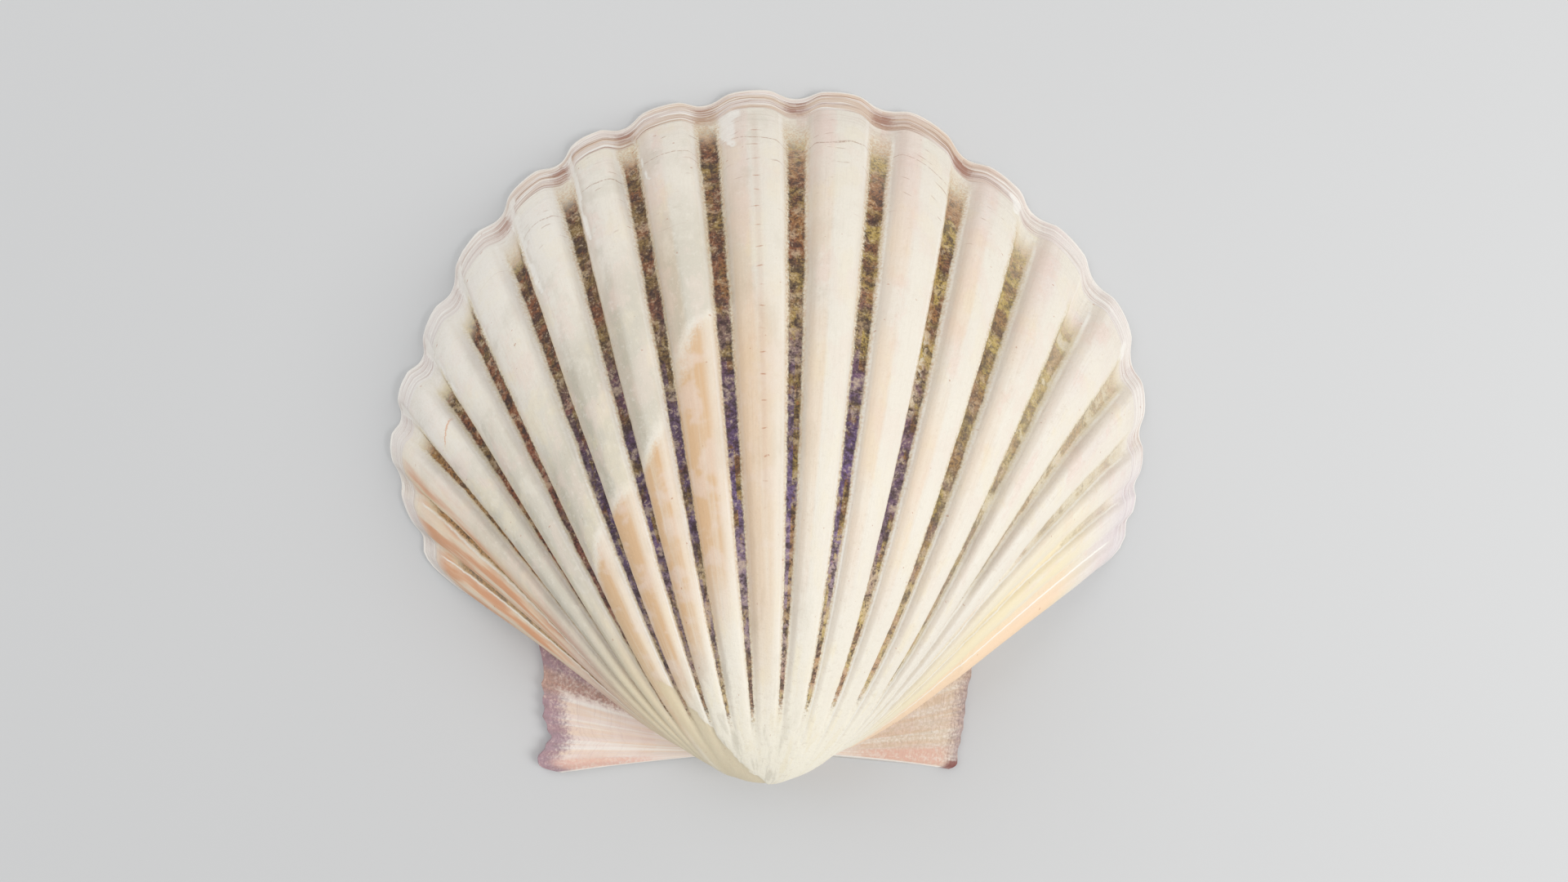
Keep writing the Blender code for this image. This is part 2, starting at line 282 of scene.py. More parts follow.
def riblets(place):
    """Fine ribs fanning out over the ears, from 0 to 1."""
    bearing = np.degrees(rim_at(place)[0])
    lines = sum(np.exp(-(((bearing - line) / RIBLET_WIDTH) ** 2)) for line in EAR_RIBLETS)
    return lines * (1.0 - rise(place))


def rippled_rim(place):
    """The rim with the riblets' waves in the ears' edges."""
    bearing, reach = rim_at(place)
    ripple = np.where(bearing < 0.0, EAR_RIPPLE[-1], EAR_RIPPLE[1])
    return bearing, reach * (1.0 + ripple * riblets(place))


def growth(place, turn):
    """The surface through the groove bottoms, for places along the rim and turns back in time."""
    bearing, reach = rippled_rim(place)
    size = size_at(turn)
    away = np.degrees(np.abs(bearing))
    narrow = plateau(away, NARROW_FROM, NARROW_FULL, NARROW_UNTIL, NARROW_END)
    most = np.where(bearing < 0.0, NARROWING[-1], NARROWING[1])
    bearing = bearing - np.sign(bearing) * np.radians(most) * narrow * (1.0 - size)
    across = size * reach * np.sin(bearing)
    ahead = np.cos(bearing)
    forward = reach * ahead * np.where(ahead < 0.0, size**HINGE_DIP, size)
    up = rise(place)
    angle = turn * (EAR_FOLLOW + (1.0 - EAR_FOLLOW) * up)
    dome = np.maximum(ahead, 0.2) ** (-DOME * up)
    return np.stack([across, forward * np.cos(angle), forward * np.sin(angle) * dome], axis=-1)


def outward(place, turn):
    """Unit normals of the growth surface, pointing out of the shell."""
    step = 1e-4
    high, low = np.minimum(place + step, LAST_PLACE), np.maximum(place - step, 0)
    along = growth(high, turn) - growth(low, turn)
    back = growth(place, turn + step) - growth(place, turn - step)
    normal = np.cross(back, along)
    return normal / np.linalg.norm(normal, axis=-1, keepdims=True)


def count_at(place):
    """Grooves passed on the way from the notched ear: whole numbers in a groove, halves on a crest."""
    bearing = np.degrees(rim_at(place)[0])
    count = np.interp(bearing, GROOVES, np.arange(len(GROOVES)))
    step = GROOVES[1] - GROOVES[0]
    before = np.maximum(GROOVES[0] - bearing, 0.0) / step
    past = np.maximum(bearing - GROOVES[-1], 0.0) / step
    return count - before + past


def rib_shape(place, turn, height):
    """Height of the ribs of a full-size shell: 0 in a groove, and height on a middle rib's crest."""
    bearing = np.abs(np.degrees(rim_at(place)[0]))
    count = count_at(place)
    last = len(GROOVES) - 1
    past = np.maximum(-count, count - last)
    near = np.where(past > 0.0, np.minimum(past, 0.5), np.abs(count - np.round(count)))
    soft = np.exp(-((turn / RIM_SOFT) ** 2))
    inward = np.sign(np.round(count) - count) * np.sign(rim_at(place)[0]) > 0.0
    steep = INNER_STEEP * smooth(bearing, STEEP_FROM, STEEP_FULL) * inward * (1.0 - soft)
    side = smooth(near, GROOVE_FLOOR * (1.0 - soft), GROOVE_SIDE - steep + RIM_SPREAD * soft)
    crown = 1.0 - RIB_CROWN * ((0.5 - near) / (0.5 - GROOVE_SIDE)) ** 2
    flank = smooth(bearing, FLANK_RIBS_FROM, FLANK_RIBS_TO)
    tall = height * (1.0 - (1.0 - FLANK_RIBS) * flank) * (1.0 - (1.0 - RIM_RIBS) * soft)
    return tall * side * crown * rise(place)


def laminae(back, arc, count, sizes):
    """Growth bands near the rim: fine steps, and the higher ones where growth had stopped."""
    wobble = 0.30 * lumps((arc, back), (7.0, 4.0), 11) + 0.12 * lumps((arc, back), (2.2, 1.0), 12)
    behind = back + wobble
    step = behind / LAMINA_SPACING
    tooth = step - np.floor(step)
    uneven = 0.6 + 0.4 * lumps((arc, np.floor(step)), (5.0, 1.0), 13)
    fade = 0.15 + np.exp(-back / LAMINA_FADE)
    fine = sizes.lamina_height / MM * uneven * fade * (1.0 - tooth) * smooth(tooth, 0.0, 0.25)
    steps = 0.0 * back
    for at, high in GROWTH_RESTS:
        steps += high * np.exp(-back / REST_LIFT_FADE)
        steps -= high * (1.0 - smooth(behind, at - REST_SOFTNESS, at + REST_SOFTNESS))
    middle = plateau(count, *STEPPED_RIBS)
    return fine * (1.3 - 0.3 * middle) + steps * (0.4 + 0.6 * middle)


def flaking(count, back, arc):
    """How far the outer layer has flaked off, from 0 to 1, and the depth that goes with it."""
    share, depth = 0.0 * back, 0.0 * back
    ragged = 0.012 * lumps((arc, back), 0.8, 21) + 0.03 * lumps((arc, back), (3.4, 2.6), 22)
    for edge, width, far_edge, far_width, start, end, deep in FLAKES:
        along = np.clip((back - start) / (end - start), 0.0, 1.0)
        left = edge + (far_edge - edge) * along
        right = left + width + (far_width - width) * along**0.8
        inside = np.minimum(count - left, right + ragged - count) / 0.018
        ends = np.minimum(back - start + 8.0 * ragged, end - back + 20.0 * ragged) / 0.4
        here = smooth(np.minimum(inside, ends), 0.0, 1.0)
        share, depth = np.maximum(share, here), np.maximum(depth, deep * here)
    return share, depth


def wearing(count, size, at):
    """How far the white layer has worn off beside the beak, from 0 to 1."""
    ragged = 0.006 * lumps(at, 0.7, 51) + 0.008 * lumps(at, 2.2, 52)
    below = smooth(np.interp(count, WORN_ACROSS, WORN_BELOW) + ragged - size, 0.0, 0.006)
    return below * smooth(count, WORN_FROM, WORN_FULL)


def outside(place, turn, back, arc, sizes):
    """The outer face with its fine relief, how flaked it is and how worn."""
    size, up, count = size_at(turn), rise(place), count_at(place)
    base, normal = growth(place, turn), outward(place, turn)
    at = np.moveaxis(base, -1, 0)
    near = np.abs(count - np.round(count))

    wander = RIB_WANDER * lumps((0.0 * place, np.round(count), 9.0 * size), 1.0, 31) * up
    ribs = rib_shape(place + wander, turn, sizes.rib_height / MM)
    relief = ribs * size * smooth(size, FIRST_RIBS, FULL_RIBS)
    relief -= GROOVE_SINK * up * (1.0 - np.exp(-((turn / RIM_SOFT) ** 2))) * size
    relief += np.minimum(UMBO_SWELL, YOUNG_WALL * size) * smooth(turn, SWELL_FROM, SWELL_FULL) * up
    relief += laminae(back, arc, count, sizes) * (0.35 + 0.65 * up) * smooth(size, 0.1, 0.3)
    relief += sizes.riblet_height / MM * riblets(place) * smooth(size, 0.12, 0.5)
    relief += THREAD_HEIGHT * lumps((arc, back), (0.9, 9.0), 46) * up * smooth(size, 0.3, 0.7)

    floors = (1.0 - smooth(near, *GROOVE_EDGES)) * up * smooth(back, *CRUST_FROM) * smooth(size, 0.08, 0.2)
    relief += sizes.crust_height / MM * (lumps(at, 0.55, 41) + 0.6 * lumps(at, 1.3, 42)) * floors
    relief += SKIN_HEIGHT * (0.5 * lumps(at, 3.1, 43) + lumps(at, 9.0, 44)) * size

    flaked, depth = flaking(count, back, arc)
    worn = wearing(count, size, at[:2]) * up
    relief -= depth * (1.0 + 0.5 * lumps(at, 0.6, 45)) * up + WORN_DEPTH * worn

    point = base + normal * relief[..., None]
    point[..., 2] += EAR_WALL + (RIM_LIP - EAR_WALL) * up
    return point, flaked * up, worn


def cavity(place, turn, sizes):
    """The inner face of the fan and the flat underside of the ears."""
    size = size_at(turn)
    wall = RIM_WALL + (BODY_WALL - RIM_WALL) * smooth(turn, 0.0, BODY_FROM)
    wall = np.minimum(wall, YOUNG_WALL * size)
    ribs = INNER_RIBS * rib_shape(place, turn, sizes.rib_height / MM)
    ribs *= np.exp(-((turn / INNER_RIBS_FADE) ** 2))
    ears = (1.0 - rise(place)) * EAR_WALL
    point = growth(place, turn) + outward(place, turn) * (ribs - wall - ears)[..., None]
    point[..., 2] = np.maximum(point[..., 2], 0.0)
    return point


def inside(place, turn, sizes):
    """The whole underside: the cavity, the wall behind it and the hinge plate under the beak."""
    bearing, reach = rippled_rim(place)
    heading = np.stack([np.sin(bearing), np.cos(bearing), np.zeros_like(bearing)], axis=-1)
    top = cavity(place, np.minimum(turn, CAVITY_TURN), sizes)
    plate = HINGE_PLATE * heading
    down = np.clip((turn - CAVITY_TURN) / (PLATE_TURN - CAVITY_TURN), 0.0, 1.0)[..., None]
    bend = 0.15 * top + 0.85 * plate
    bend[..., 2] = 0.75 * top[..., 2]
    wall = (1.0 - down) ** 2 * top + 2.0 * down * (1.0 - down) * bend + down**2 * plate
    on = np.clip((turn - PLATE_TURN) / (LAST_TURN - PLATE_TURN), 0.0, 1.0)[..., None]
    under_disc = wall + (BEAK_PLATE * heading - plate) * on
    under_ear = size_at(turn)[..., None] * reach[..., None] * heading
    return np.where((rise(place) < 1e-9)[..., None], under_ear, under_disc)


def column_places():
    """Places of the mesh's columns, closest together in the grooves."""
    dense = np.linspace(DISC_START - 1, DISC_END + 1, 8001)
    half = np.array(HALF_RIB)
    one_rib = np.concatenate([half, 1.0 - half[-2:0:-1]])
    ribs = np.concatenate([one_rib + rib for rib in range(len(GROOVES) - 1)] + [[len(GROOVES) - 1.0]])
    ribbed = np.interp(ribs, count_at(dense), dense)
    ear = np.linspace(0.0, DISC_START - 1, EAR_COLUMNS * (DISC_START - 1) + 1)
    flank = np.linspace(DISC_START - 1, ribbed[0], NOTCHED_FLANK_COLUMNS + 1)[1:-1]
    far_flank = np.linspace(ribbed[-1], DISC_END + 1, PLAIN_FLANK_COLUMNS + 1)[1:-1]
    far_ear = np.linspace(DISC_END + 1, LAST_PLACE, EAR_COLUMNS * (LAST_PLACE - DISC_END - 1) + 1)
    return np.concatenate([ear, flank, ribbed, far_flank, far_ear])


def row_turns():
    """Turns of the mesh's rows and how far each lies behind the rim, in millimetres."""
    dense = np.linspace(0.0, LAST_TURN, 6001)
    size = size_at(dense)
    speed = FULL_REACH * size * np.hypot(SHRINK + TIGHTEN * dense, 1.0)
    travelled = np.concatenate([[0.0], np.cumsum((speed[1:] + speed[:-1]) / 2.0 * np.diff(dense))])
    backs = [0.0]
    while backs[-1] < travelled[-1]:
        backs.append(backs[-1] + ROW_RIM + (ROW_BODY - ROW_RIM) * float(smooth(backs[-1], *ROWS_WIDEN)))
    spare = (len(backs) - 1) % INNER_EVERY
    backs = np.array(backs[: len(backs) - spare])
    backs *= travelled[-1] / backs[-1]
    return np.interp(backs, travelled, dense), backs


def arc_along_rim(places):
    """Millimetres along the rim from the hinge corner of the notched ear."""
    dense = np.linspace(0.0, LAST_PLACE, 8001)
    bearing, reach = rim_at(dense)
    steps = np.hypot(np.diff(reach * np.sin(bearing)), np.diff(reach * np.cos(bearing)))
    return np.interp(places, dense, np.concatenate([[0.0], np.cumsum(steps)]))


def stride_at(turn):
    """How many columns one face spans at this turn."""
    size = float(size_at(turn))
    if size > HALVE_AT:
        return 1
    return 2 if size > QUARTER_AT else 4


def triples(*values):
    """Three coordinates for each point of a row, from arrays or plain numbers."""
    return np.stack(np.broadcast_arrays(*values), axis=-1)


class Sheet:
    """The rows of one closed sheet, from the beak over the inside to the rim and back over the outside."""

    def __init__(self, arc, rib, stain):
        self.arc, self.rib, self.stain = arc, rib, stain
        self.points, self.faces = [], []
        self.layers = {"growth_at": [], "rib_at": [], "stain_at": [], "marks": []}
        self.total = 0

    def add_row(self, stride, point, back, size, flaked=0.0, worn=0.0):
        """Adds every so many points of a row, with their surface coordinates, and gives their numbers."""
        keep = slice(None, None, stride)
        growth_at = triples(self.arc, back, size)
        marks = triples(flaked, worn, 0.0 * self.arc)
        for held, values in zip(self.layers.values(), (growth_at, self.rib, self.stain, marks)):
            held.append(values[keep])
        self.points.append(point[keep])
        numbers = np.arange(self.total, self.total + len(point[keep]))
        self.total += len(numbers)
        return numbers

    def knit(self, first, second):
        """Joins two rows, of which one may have twice the points of the other."""
        if len(first) == len(second):
            self.faces += np.stack([first[:-1], second[:-1], second[1:], first[1:]], 1).tolist()
        elif len(first) > len(second):
            for cell in range(len(second) - 1):
                a, b, c = first[2 * cell : 2 * cell + 3]
                d, e = second[cell : cell + 2]
                self.faces += [[a, d, b], [b, d, e], [b, e, c]]
        else:
            for cell in range(len(first) - 1):
                a, b = first[cell : cell + 2]
                d, e, f = second[2 * cell : 2 * cell + 3]
                self.faces += [[a, d, e], [a, e, b], [b, e, f]]

    def close_side(self, outer, inner, edge, flip):
        """Fills the hinge edge between the outer and the inner rows' ends."""
        side = [[outer[0], edge, inner[0]]]
        middle = INNER_EVERY // 2
        for cell in range(len(inner) - 1):
            start = cell * INNER_EVERY
            for step in range(INNER_EVERY):
                hub = inner[cell] if step < middle else inner[cell + 1]
                side.append([outer[start + step + 1], outer[start + step], hub])
            side.append([outer[start + middle], inner[cell], inner[cell + 1]])
        self.faces += [face[::-1] if flip else face for face in side]


def grow_valve(sizes):
    """The closed sheet of the valve, and how many of its points are on the underside."""
    places = column_places()
    turns, backs = row_turns()
    young = size_at(turns)
    arc, count = arc_along_rim(places), count_at(places)
    heading = rim_at(places)[0]
    groove = np.clip(np.round(count), 0, len(GROOVES) - 1).astype(int)
    stain = triples(*(np.array(held, float)[groove] for held in (STAIN_START, STAIN_END, STAIN_SHARE)))
    turn, place = np.meshgrid(turns, places, indexing="ij")
    back, along = np.broadcast_arrays(backs[:, None], arc[None, :])
    outer, flaked, worn = outside(place, turn, back, along, sizes)
    inner = inside(place[::INNER_EVERY], turn[::INNER_EVERY], sizes)
    lean = triples(np.sin(heading), np.cos(heading), 0.0)
    edge = (outer[0] + inner[0]) / 2.0 + lean * RIM_ROUNDING

    sheet = Sheet(arc, triples(count, np.degrees(heading), rise(places)), stain)
    inner_rows = []
    for row in reversed(range(len(inner))):
        grown = row * INNER_EVERY
        stride = 1 if row == 0 else max(2, stride_at(turns[grown]))
        inner_rows.append(sheet.add_row(stride, inner[row], backs[grown], young[grown]))
    edge_row = sheet.add_row(1, edge, backs[0], young[0])
    outer_rows = [
        sheet.add_row(stride_at(turns[row]), outer[row], backs[row], young[row], flaked[row], worn[row])
        for row in range(len(outer))
    ]
    chain = inner_rows + [edge_row] + outer_rows
    for first, second in zip(chain, chain[1:] + chain[:1]):
        sheet.knit(first, second)
    inner_rows.reverse()
    for end in (0, -1):
        outer_end, inner_end = [row[end] for row in outer_rows], [row[end] for row in inner_rows]
        sheet.close_side(outer_end, inner_end, edge_row[end], end != 0)
    return sheet, sum(len(row) for row in inner_rows)


def face_materials(sheet, inner_total):
    """0 on the fan, 1 on the ears and 2 on the underside."""
    up = np.concatenate(sheet.layers["rib_at"])[:, 2]
    low = rise(np.array([DISC_START - 1 + EAR_EDGE]))[0]
    kinds = []
    for face in sheet.faces:
        if max(face) < inner_total:
            kinds.append(2)
        else:
            kinds.append(0 if up[face].mean() > low else 1)
    return kinds


class Signal:
    """One output of a node, to write formulas with."""

    def __init__(self, wiring, socket):
        self.wiring, self.socket = wiring, socket

    def __add__(self, other):
        return self.wiring.math("ADD", self, other)

    def __sub__(self, other):
        return self.wiring.math("SUBTRACT", self, other)

    def __rsub__(self, other):
        return self.wiring.math("SUBTRACT", other, self)

    def __mul__(self, other):
        return self.wiring.math("MULTIPLY", self, other)

    def __abs__(self):
        return self.wiring.math("ABSOLUTE", self)

    def __round__(self):
        return self.wiring.math("ROUND", self)

    def __floor__(self):
        return self.wiring.math("FLOOR", self)


class Wiring:
    """Short calls that add nodes to one tree and join them."""

    def __init__(self, tree):
        self.tree = tree

    def feed(self, socket, value):
        """Links a signal or sets a plain value."""
        if isinstance(value, Signal):
            self.tree.links.new(value.socket, socket)
        elif socket.type == "RGBA":
            socket.default_value = (*tuple(value)[:3], 1.0)
        else:
            socket.default_value = value

    def node(self, kind, inputs, **settings):
        """Adds a node, feeds its inputs by name or number, and gives its outputs."""
        made = self.tree.nodes.new("ShaderNode" + kind)
        for name, value in settings.items():
            setattr(made, name, value)
        for key, value in inputs.items():
            self.feed(made.inputs[key], value)
        return made.outputs

    def one(self, output, kind, inputs, **settings):
        """Adds a node and gives one of its outputs, by name or number, as a signal."""
        return Signal(self, self.node(kind, inputs, **settings)[output])

    def math(self, operation, *values):
        return self.one(0, "Math", dict(enumerate(values)), operation=operation)

    def noise(self, vector, scale=1.0, detail=2.0, roughness=0.5):
        inputs = {"Vector": vector, "Scale": scale, "Detail": detail, "Roughness": roughness}
        return self.one("Fac", "TexNoise", inputs, noise_dimensions="3D")

    def mix(self, share, first, second):
        return self.one(2, "Mix", {0: share, 6: first, 7: second}, data_type="RGBA", clamp_factor=True)

    def stack(self, base, *coats):
        """A colour with coats over it, each a share and a colour."""
        for share, colour in coats:
            base = self.mix(share, base, colour)
        return base

    def join(self, *values):
        return self.one(0, "CombineXYZ", dict(enumerate(values)))

    def split(self, vector):
        return [Signal(self, output) for output in self.node("SeparateXYZ", {0: vector})]

    def attribute(self, name):
        return self.one("Vector", "Attribute", {}, attribute_type="GEOMETRY", attribute_name=name)

    def group(self, tree, **values):
        """Places a group and gives its outputs by name."""
        made = self.tree.nodes.new("ShaderNodeGroup")
        made.node_tree = tree
        for name, value in values.items():
            self.feed(made.inputs[name], value)
        return {socket.name: Signal(self, socket) for socket in made.outputs}


def ease(value, low, high, start=0.0, end=1.0):
    """A soft step of a signal: start below low and end above high."""
    inputs = {"Value": value, "From Min": low, "From Max": high, "To Min": start, "To Max": end}
    return value.wiring.one("Result", "MapRange", inputs, interpolation_type="SMOOTHSTEP", clamp=True)


def hill(value, low, top_low, top_high, high):
    """A soft rise from low to top_low and a soft fall from top_high to high."""
    return ease(value, low, top_low) * ease(value, top_high, high, 1.0, 0.0)


def larger(first, second):
    """The larger of two signals."""
    return first.wiring.math("MAXIMUM", first, second)


def new_group(name, inputs, outputs):
    """An empty shader group with named sockets, its wiring, and its inner input and output sockets."""
    tree = bpy.data.node_groups.new(name, "ShaderNodeTree")
    kinds = {"value": "NodeSocketFloat", "vector": "NodeSocketVector", "colour": "NodeSocketColor"}
    for direction, sockets in (("INPUT", inputs), ("OUTPUT", outputs)):
        for label, kind in sockets.items():
            tree.interface.new_socket(label, in_out=direction, socket_type=kinds[kind])
    w = Wiring(tree)
    given = tree.nodes.new("NodeGroupInput").outputs
    leave = tree.nodes.new("NodeGroupOutput")
    return tree, w, {socket.name: Signal(w, socket) for socket in given}, leave.inputs


def granules_group():
    """Grains of sediment: three colours mottled together, in cells a fraction of a millimetre wide."""
    tree, w, given, out = new_group(
        "granules",
        {"Where": "vector", "Fineness": "value", "Body": "colour", "Dark": "colour", "Light": "colour"},
        {"Colour": "colour", "Height": "value"},
    )
    grain = w.noise(given["Where"], given["Fineness"], 4.0, 0.72)
    blot = w.noise(given["Where"], given["Fineness"] * 0.31, 2.0, 0.6)
    mottle = grain * 0.62 + blot * 0.38
    dark = w.mix(ease(mottle, 0.41, 0.51), given["Dark"], given["Body"])
    w.feed(out["Colour"], w.mix(ease(mottle, 0.53, 0.64), dark, given["Light"]))
    w.feed(out["Height"], grain)
    return tree


def growth_lines_group():
    """Thin lines and broader bands that follow the rim, from the coordinates along and behind it."""
    tree, w, given, out = new_group(
        "growth lines",
        {"Arc": "value", "Back": "value", "Seed": "value", "Fineness": "value"},
        {"Line": "value", "Band": "value", "Height": "value"},
    )
    arc, back, seed = given["Arc"], given["Back"], given["Seed"]
    bend = w.noise(w.join(arc * 0.16, back * 0.22, seed), 1.0, 2.0)
    fine = (back + bend * 1.1) * given["Fineness"]
    thin = w.noise(w.join(arc * 0.045, fine * 2.4, seed), 1.0, 3.0, 0.7)
    band = w.noise(w.join(arc * 0.05, fine * 0.8, seed), 1.0, 1.0)
    w.feed(out["Line"], ease(thin, 0.54, 0.66))
    w.feed(out["Band"], ease(band, 0.40, 0.62))
    w.feed(out["Height"], thin)
    return tree


def chalk_group():
    """The dry, slightly uneven tone of old shell, and the fine grain that goes with it."""
    tree, w, given, out = new_group(
        "chalk",
        {"Where": "vector", "Colour": "colour", "Cloud": "colour", "Amount": "value"},
        {"Colour": "colour", "Roughness": "value", "Height": "value"},
    )
    cloud = w.noise(given["Where"], 0.11, 3.0, 0.6)
    grain = w.noise(given["Where"], 3.6, 3.0, 0.65)
    clouded = (ease(cloud, 0.38, 0.68) * given["Amount"], given["Cloud"])
    grained = (ease(grain, 0.50, 0.80, 0.0, 0.16), given["Cloud"])
    w.feed(out["Colour"], w.stack(given["Colour"], clouded, grained))
    w.feed(out["Roughness"], ease(grain, 0.3, 0.7, 0.58, 0.74))
    w.feed(out["Height"], grain)
    return tree


class Finish(Wiring):
    """The wiring of one material, w in the functions below, with the signals that its coats share."""

    def __init__(self, name):
        self.material = bpy.data.materials.new(name)
        self.material.use_nodes = True
        super().__init__(self.material.node_tree)
        self.shader = self.tree.nodes["Principled BSDF"].inputs

    def read_surface(self):
        """Place in millimetres, and the coordinates of the shell's surface."""
        place = self.one("Object", "TexCoord", {})
        self.where = self.one(0, "VectorMath", {0: place, "Scale": 1.0 / MM}, operation="SCALE")
        self.arc, self.back, self.size = self.split(self.attribute("growth_at"))
        self.count, self.bearing, _ = self.split(self.attribute("rib_at"))

    def lay(self, colour, share):
        """Mixes a share of a colour over the coats so far."""
        self.toned = self.mix(share, self.toned, colour)

    def close(self, roughness, heights, distance):
        """Feeds the shader the coats, a roughness and the relief of heights, and gives the material."""
        total = heights[0]
        for height in heights[1:]:
            total = total + height
        inputs = {"Strength": 1.0, "Distance": distance, "Height": total}
        self.feed(self.shader["Base Color"], self.toned)
        self.feed(self.shader["Roughness"], roughness)
        self.feed(self.shader["Normal"], self.one("Normal", "Bump", inputs))
        return self.material


def read_ribs(w):
    """Where a point lies among the ribs and grooves, and the noises that several coats share."""
    groove = round(w.count)
    w.rib = math.floor(w.count)
    w.near = abs(w.count - groove)
    w.side = w.count - w.rib
    w.rib_seed, w.groove_seed = w.rib * 7.31, groove * 5.17
    w.outer_side = ease((w.count - groove) * ease(w.bearing, -40.0, 40.0, 1.0, -1.0), -0.02, 0.04)
    w.flaked, w.worn, _ = w.split(w.attribute("marks"))
    w.fuzz = w.noise(w.where, 2.6, 3.0, 0.6)
    w.powder = w.noise(w.where, 1.5, 4.0, 0.7)
    w.fibre = w.noise(w.join(w.arc * 2.6, w.back * 0.16, 7.0), 1.0, 3.0, 0.65)
    w.streak = w.noise(w.join(w.arc * 0.55 + w.rib_seed, w.back * 0.035, w.rib_seed), 1.0, 3.0, 0.6)
    w.drift = w.noise(w.join(w.arc * 0.09, w.back * 0.05, 3.0), 1.0, 2.0)
    w.brink = w.side + w.streak * 0.10 + w.fuzz * 0.02
    w.banded = hill(w.count, *BANDED_RIBS)
    patch = w.size + w.noise(w.where, 0.05, 2.0) * 0.16 + w.fuzz * 0.02
    w.patch = patch + w.count * PATCH_SLANT + PATCH_SHIFT


def lay_body(w, tones):
    """Ivory with painted grey-green shadow on a broad patch of the middle ribs, cream at the beak, lilac at
    the rim.
    """
    # Painted shadow, grey-green, on a patch of the middle ribs and on the lower ribs of the notched side.
    painted_shadow = hill(w.patch, 0.65, 0.67, 0.78, 0.90) * hill(w.count, *PAINTED_SHADOW_RIBS)
    painted_shadow = larger(painted_shadow, ease(w.count, 4.4, 3.4) * hill(w.size, 0.2, 0.36, 0.66, 0.84) * 0.85)
    w.toned = w.mix(painted_shadow * 0.92, w.chalk["Colour"], tones.painted_shadow)
    w.lay(tones.cream, ease(w.size, 0.42, 0.16))
    lilac = ease(w.size, 0.60, 0.97) * ease(w.drift, 0.38, 0.62) * ease(w.bearing, -40.0, 20.0, 0.3, 1.0)
    w.lay(tones.lilac, lilac * 0.7)
    blotch = w.noise(w.join(w.arc * 0.16, w.back * 0.11, 12.0), 1.0, 4.0, 0.62)
    w.lay(tones.rose, ease(blotch, 0.50, 0.62) * ease(w.size, 0.3, 0.7) * 0.5)
    w.lay(tones.bright, ease(blotch, 0.47, 0.36) * ease(w.size, 0.2, 0.5) * 0.5)
    haze = w.noise(w.join(w.arc * 0.13, w.back * 0.10, 27.0), 1.0, 4.0, 0.6)
    w.lay(tones.straw, ease(haze, 0.52, 0.64) * 0.34)
    # Mottled grey-green over the ribs of the notched half: partly the shell's own uneven tone, partly painted
    # shade.
    w.lay(tones.painted_shadow, ease(haze, 0.48, 0.36) * ease(w.count, 10.5, 8.5) * 0.42)
    w.lay(tones.shade, ease(w.powder, 0.46, 0.34, 0.0, 0.30))
    w.lay(tones.snow, ease(w.powder, 0.54, 0.66, 0.0, 0.30))
    w.lay(tones.shade, ease(w.fibre, 0.48, 0.72, 0.0, 0.30) * ease(w.size, 0.15, 0.5))


def lay_rib_highlight_and_shade(w, tones):
    """A painted highlight on the side of each rib towards the plain ear, painted shade on the other side's
    wall, and pink or peach there that is partly the ribs' tint and partly painted shade.
    """
    # Painted highlight on the side of each rib towards the plain ear.
    bright = ease(w.brink, 0.44, 0.58) * ease(w.size, 0.10, 0.35) * ease(w.bearing, -30.0, 0.0, 0.55, 0.95)
    w.lay(tones.bright, bright * 0.6)
    # Painted rim light near the rim of the notched side's ribs.
    painted_rim_light = ease(w.size, 0.74, 0.92) * ease(w.count, 7.2, 5.4) * ease(w.count, 1.0, 2.2)
    w.lay(tones.snow, painted_rim_light * ease(w.fuzz, 0.3, 0.6, 0.5, 0.85) * 0.8)
    # Painted shade on the rib's wall towards the notched ear.
    w.lay(tones.shade, hill(w.side, 0.12, 0.17, 0.24, 0.34) * ease(w.size, 0.12, 0.4) * 0.45)
    # Pink or peach on that side: partly the ribs' own tint, partly painted shade.
    peach = hill(w.brink, 0.20, 0.28, 0.46, 0.54) * hill(w.bearing, -20.0, -2.0, 20.0, 44.0)
    blush = w.noise(w.join(w.rib_seed, w.back * 0.06, 8.0), 1.0, 2.0)
    rosy = w.mix(ease(w.size, 0.72, 0.92), tones.peach, tones.rose)
    w.lay(rosy, peach * ease(w.size, 0.30, 0.55) * ease(blush, 0.28, 0.52, 0.10, 0.42))


def lay_flush(w, tones):
    """A broad peach flush on the lower middle ribs, with a ragged upper edge where the painted shadow ends.
    """
    mottle = w.noise(w.where, 0.22, 3.0, 0.6)
    flush = hill(w.patch, 0.34, 0.48, 0.635, 0.655) * hill(w.count, *FLUSH_RIBS)
    faint = hill(w.patch, 0.20, 0.40, 0.56, 0.70) * hill(w.count, *FAINT_RIBS) * 0.5
    flush = larger(flush, faint) * ease(w.streak, 0.30, 0.56, 0.6, 1.0) * ease(w.brink, 0.84, 0.64, 0.3, 1.0)
    w.lay(tones.amber, flush * ease(mottle, 0.34, 0.54, 0.7, 1.0))
    w.lay(tones.rose, flush * ease(mottle, 0.50, 0.40, 0.0, 0.35))


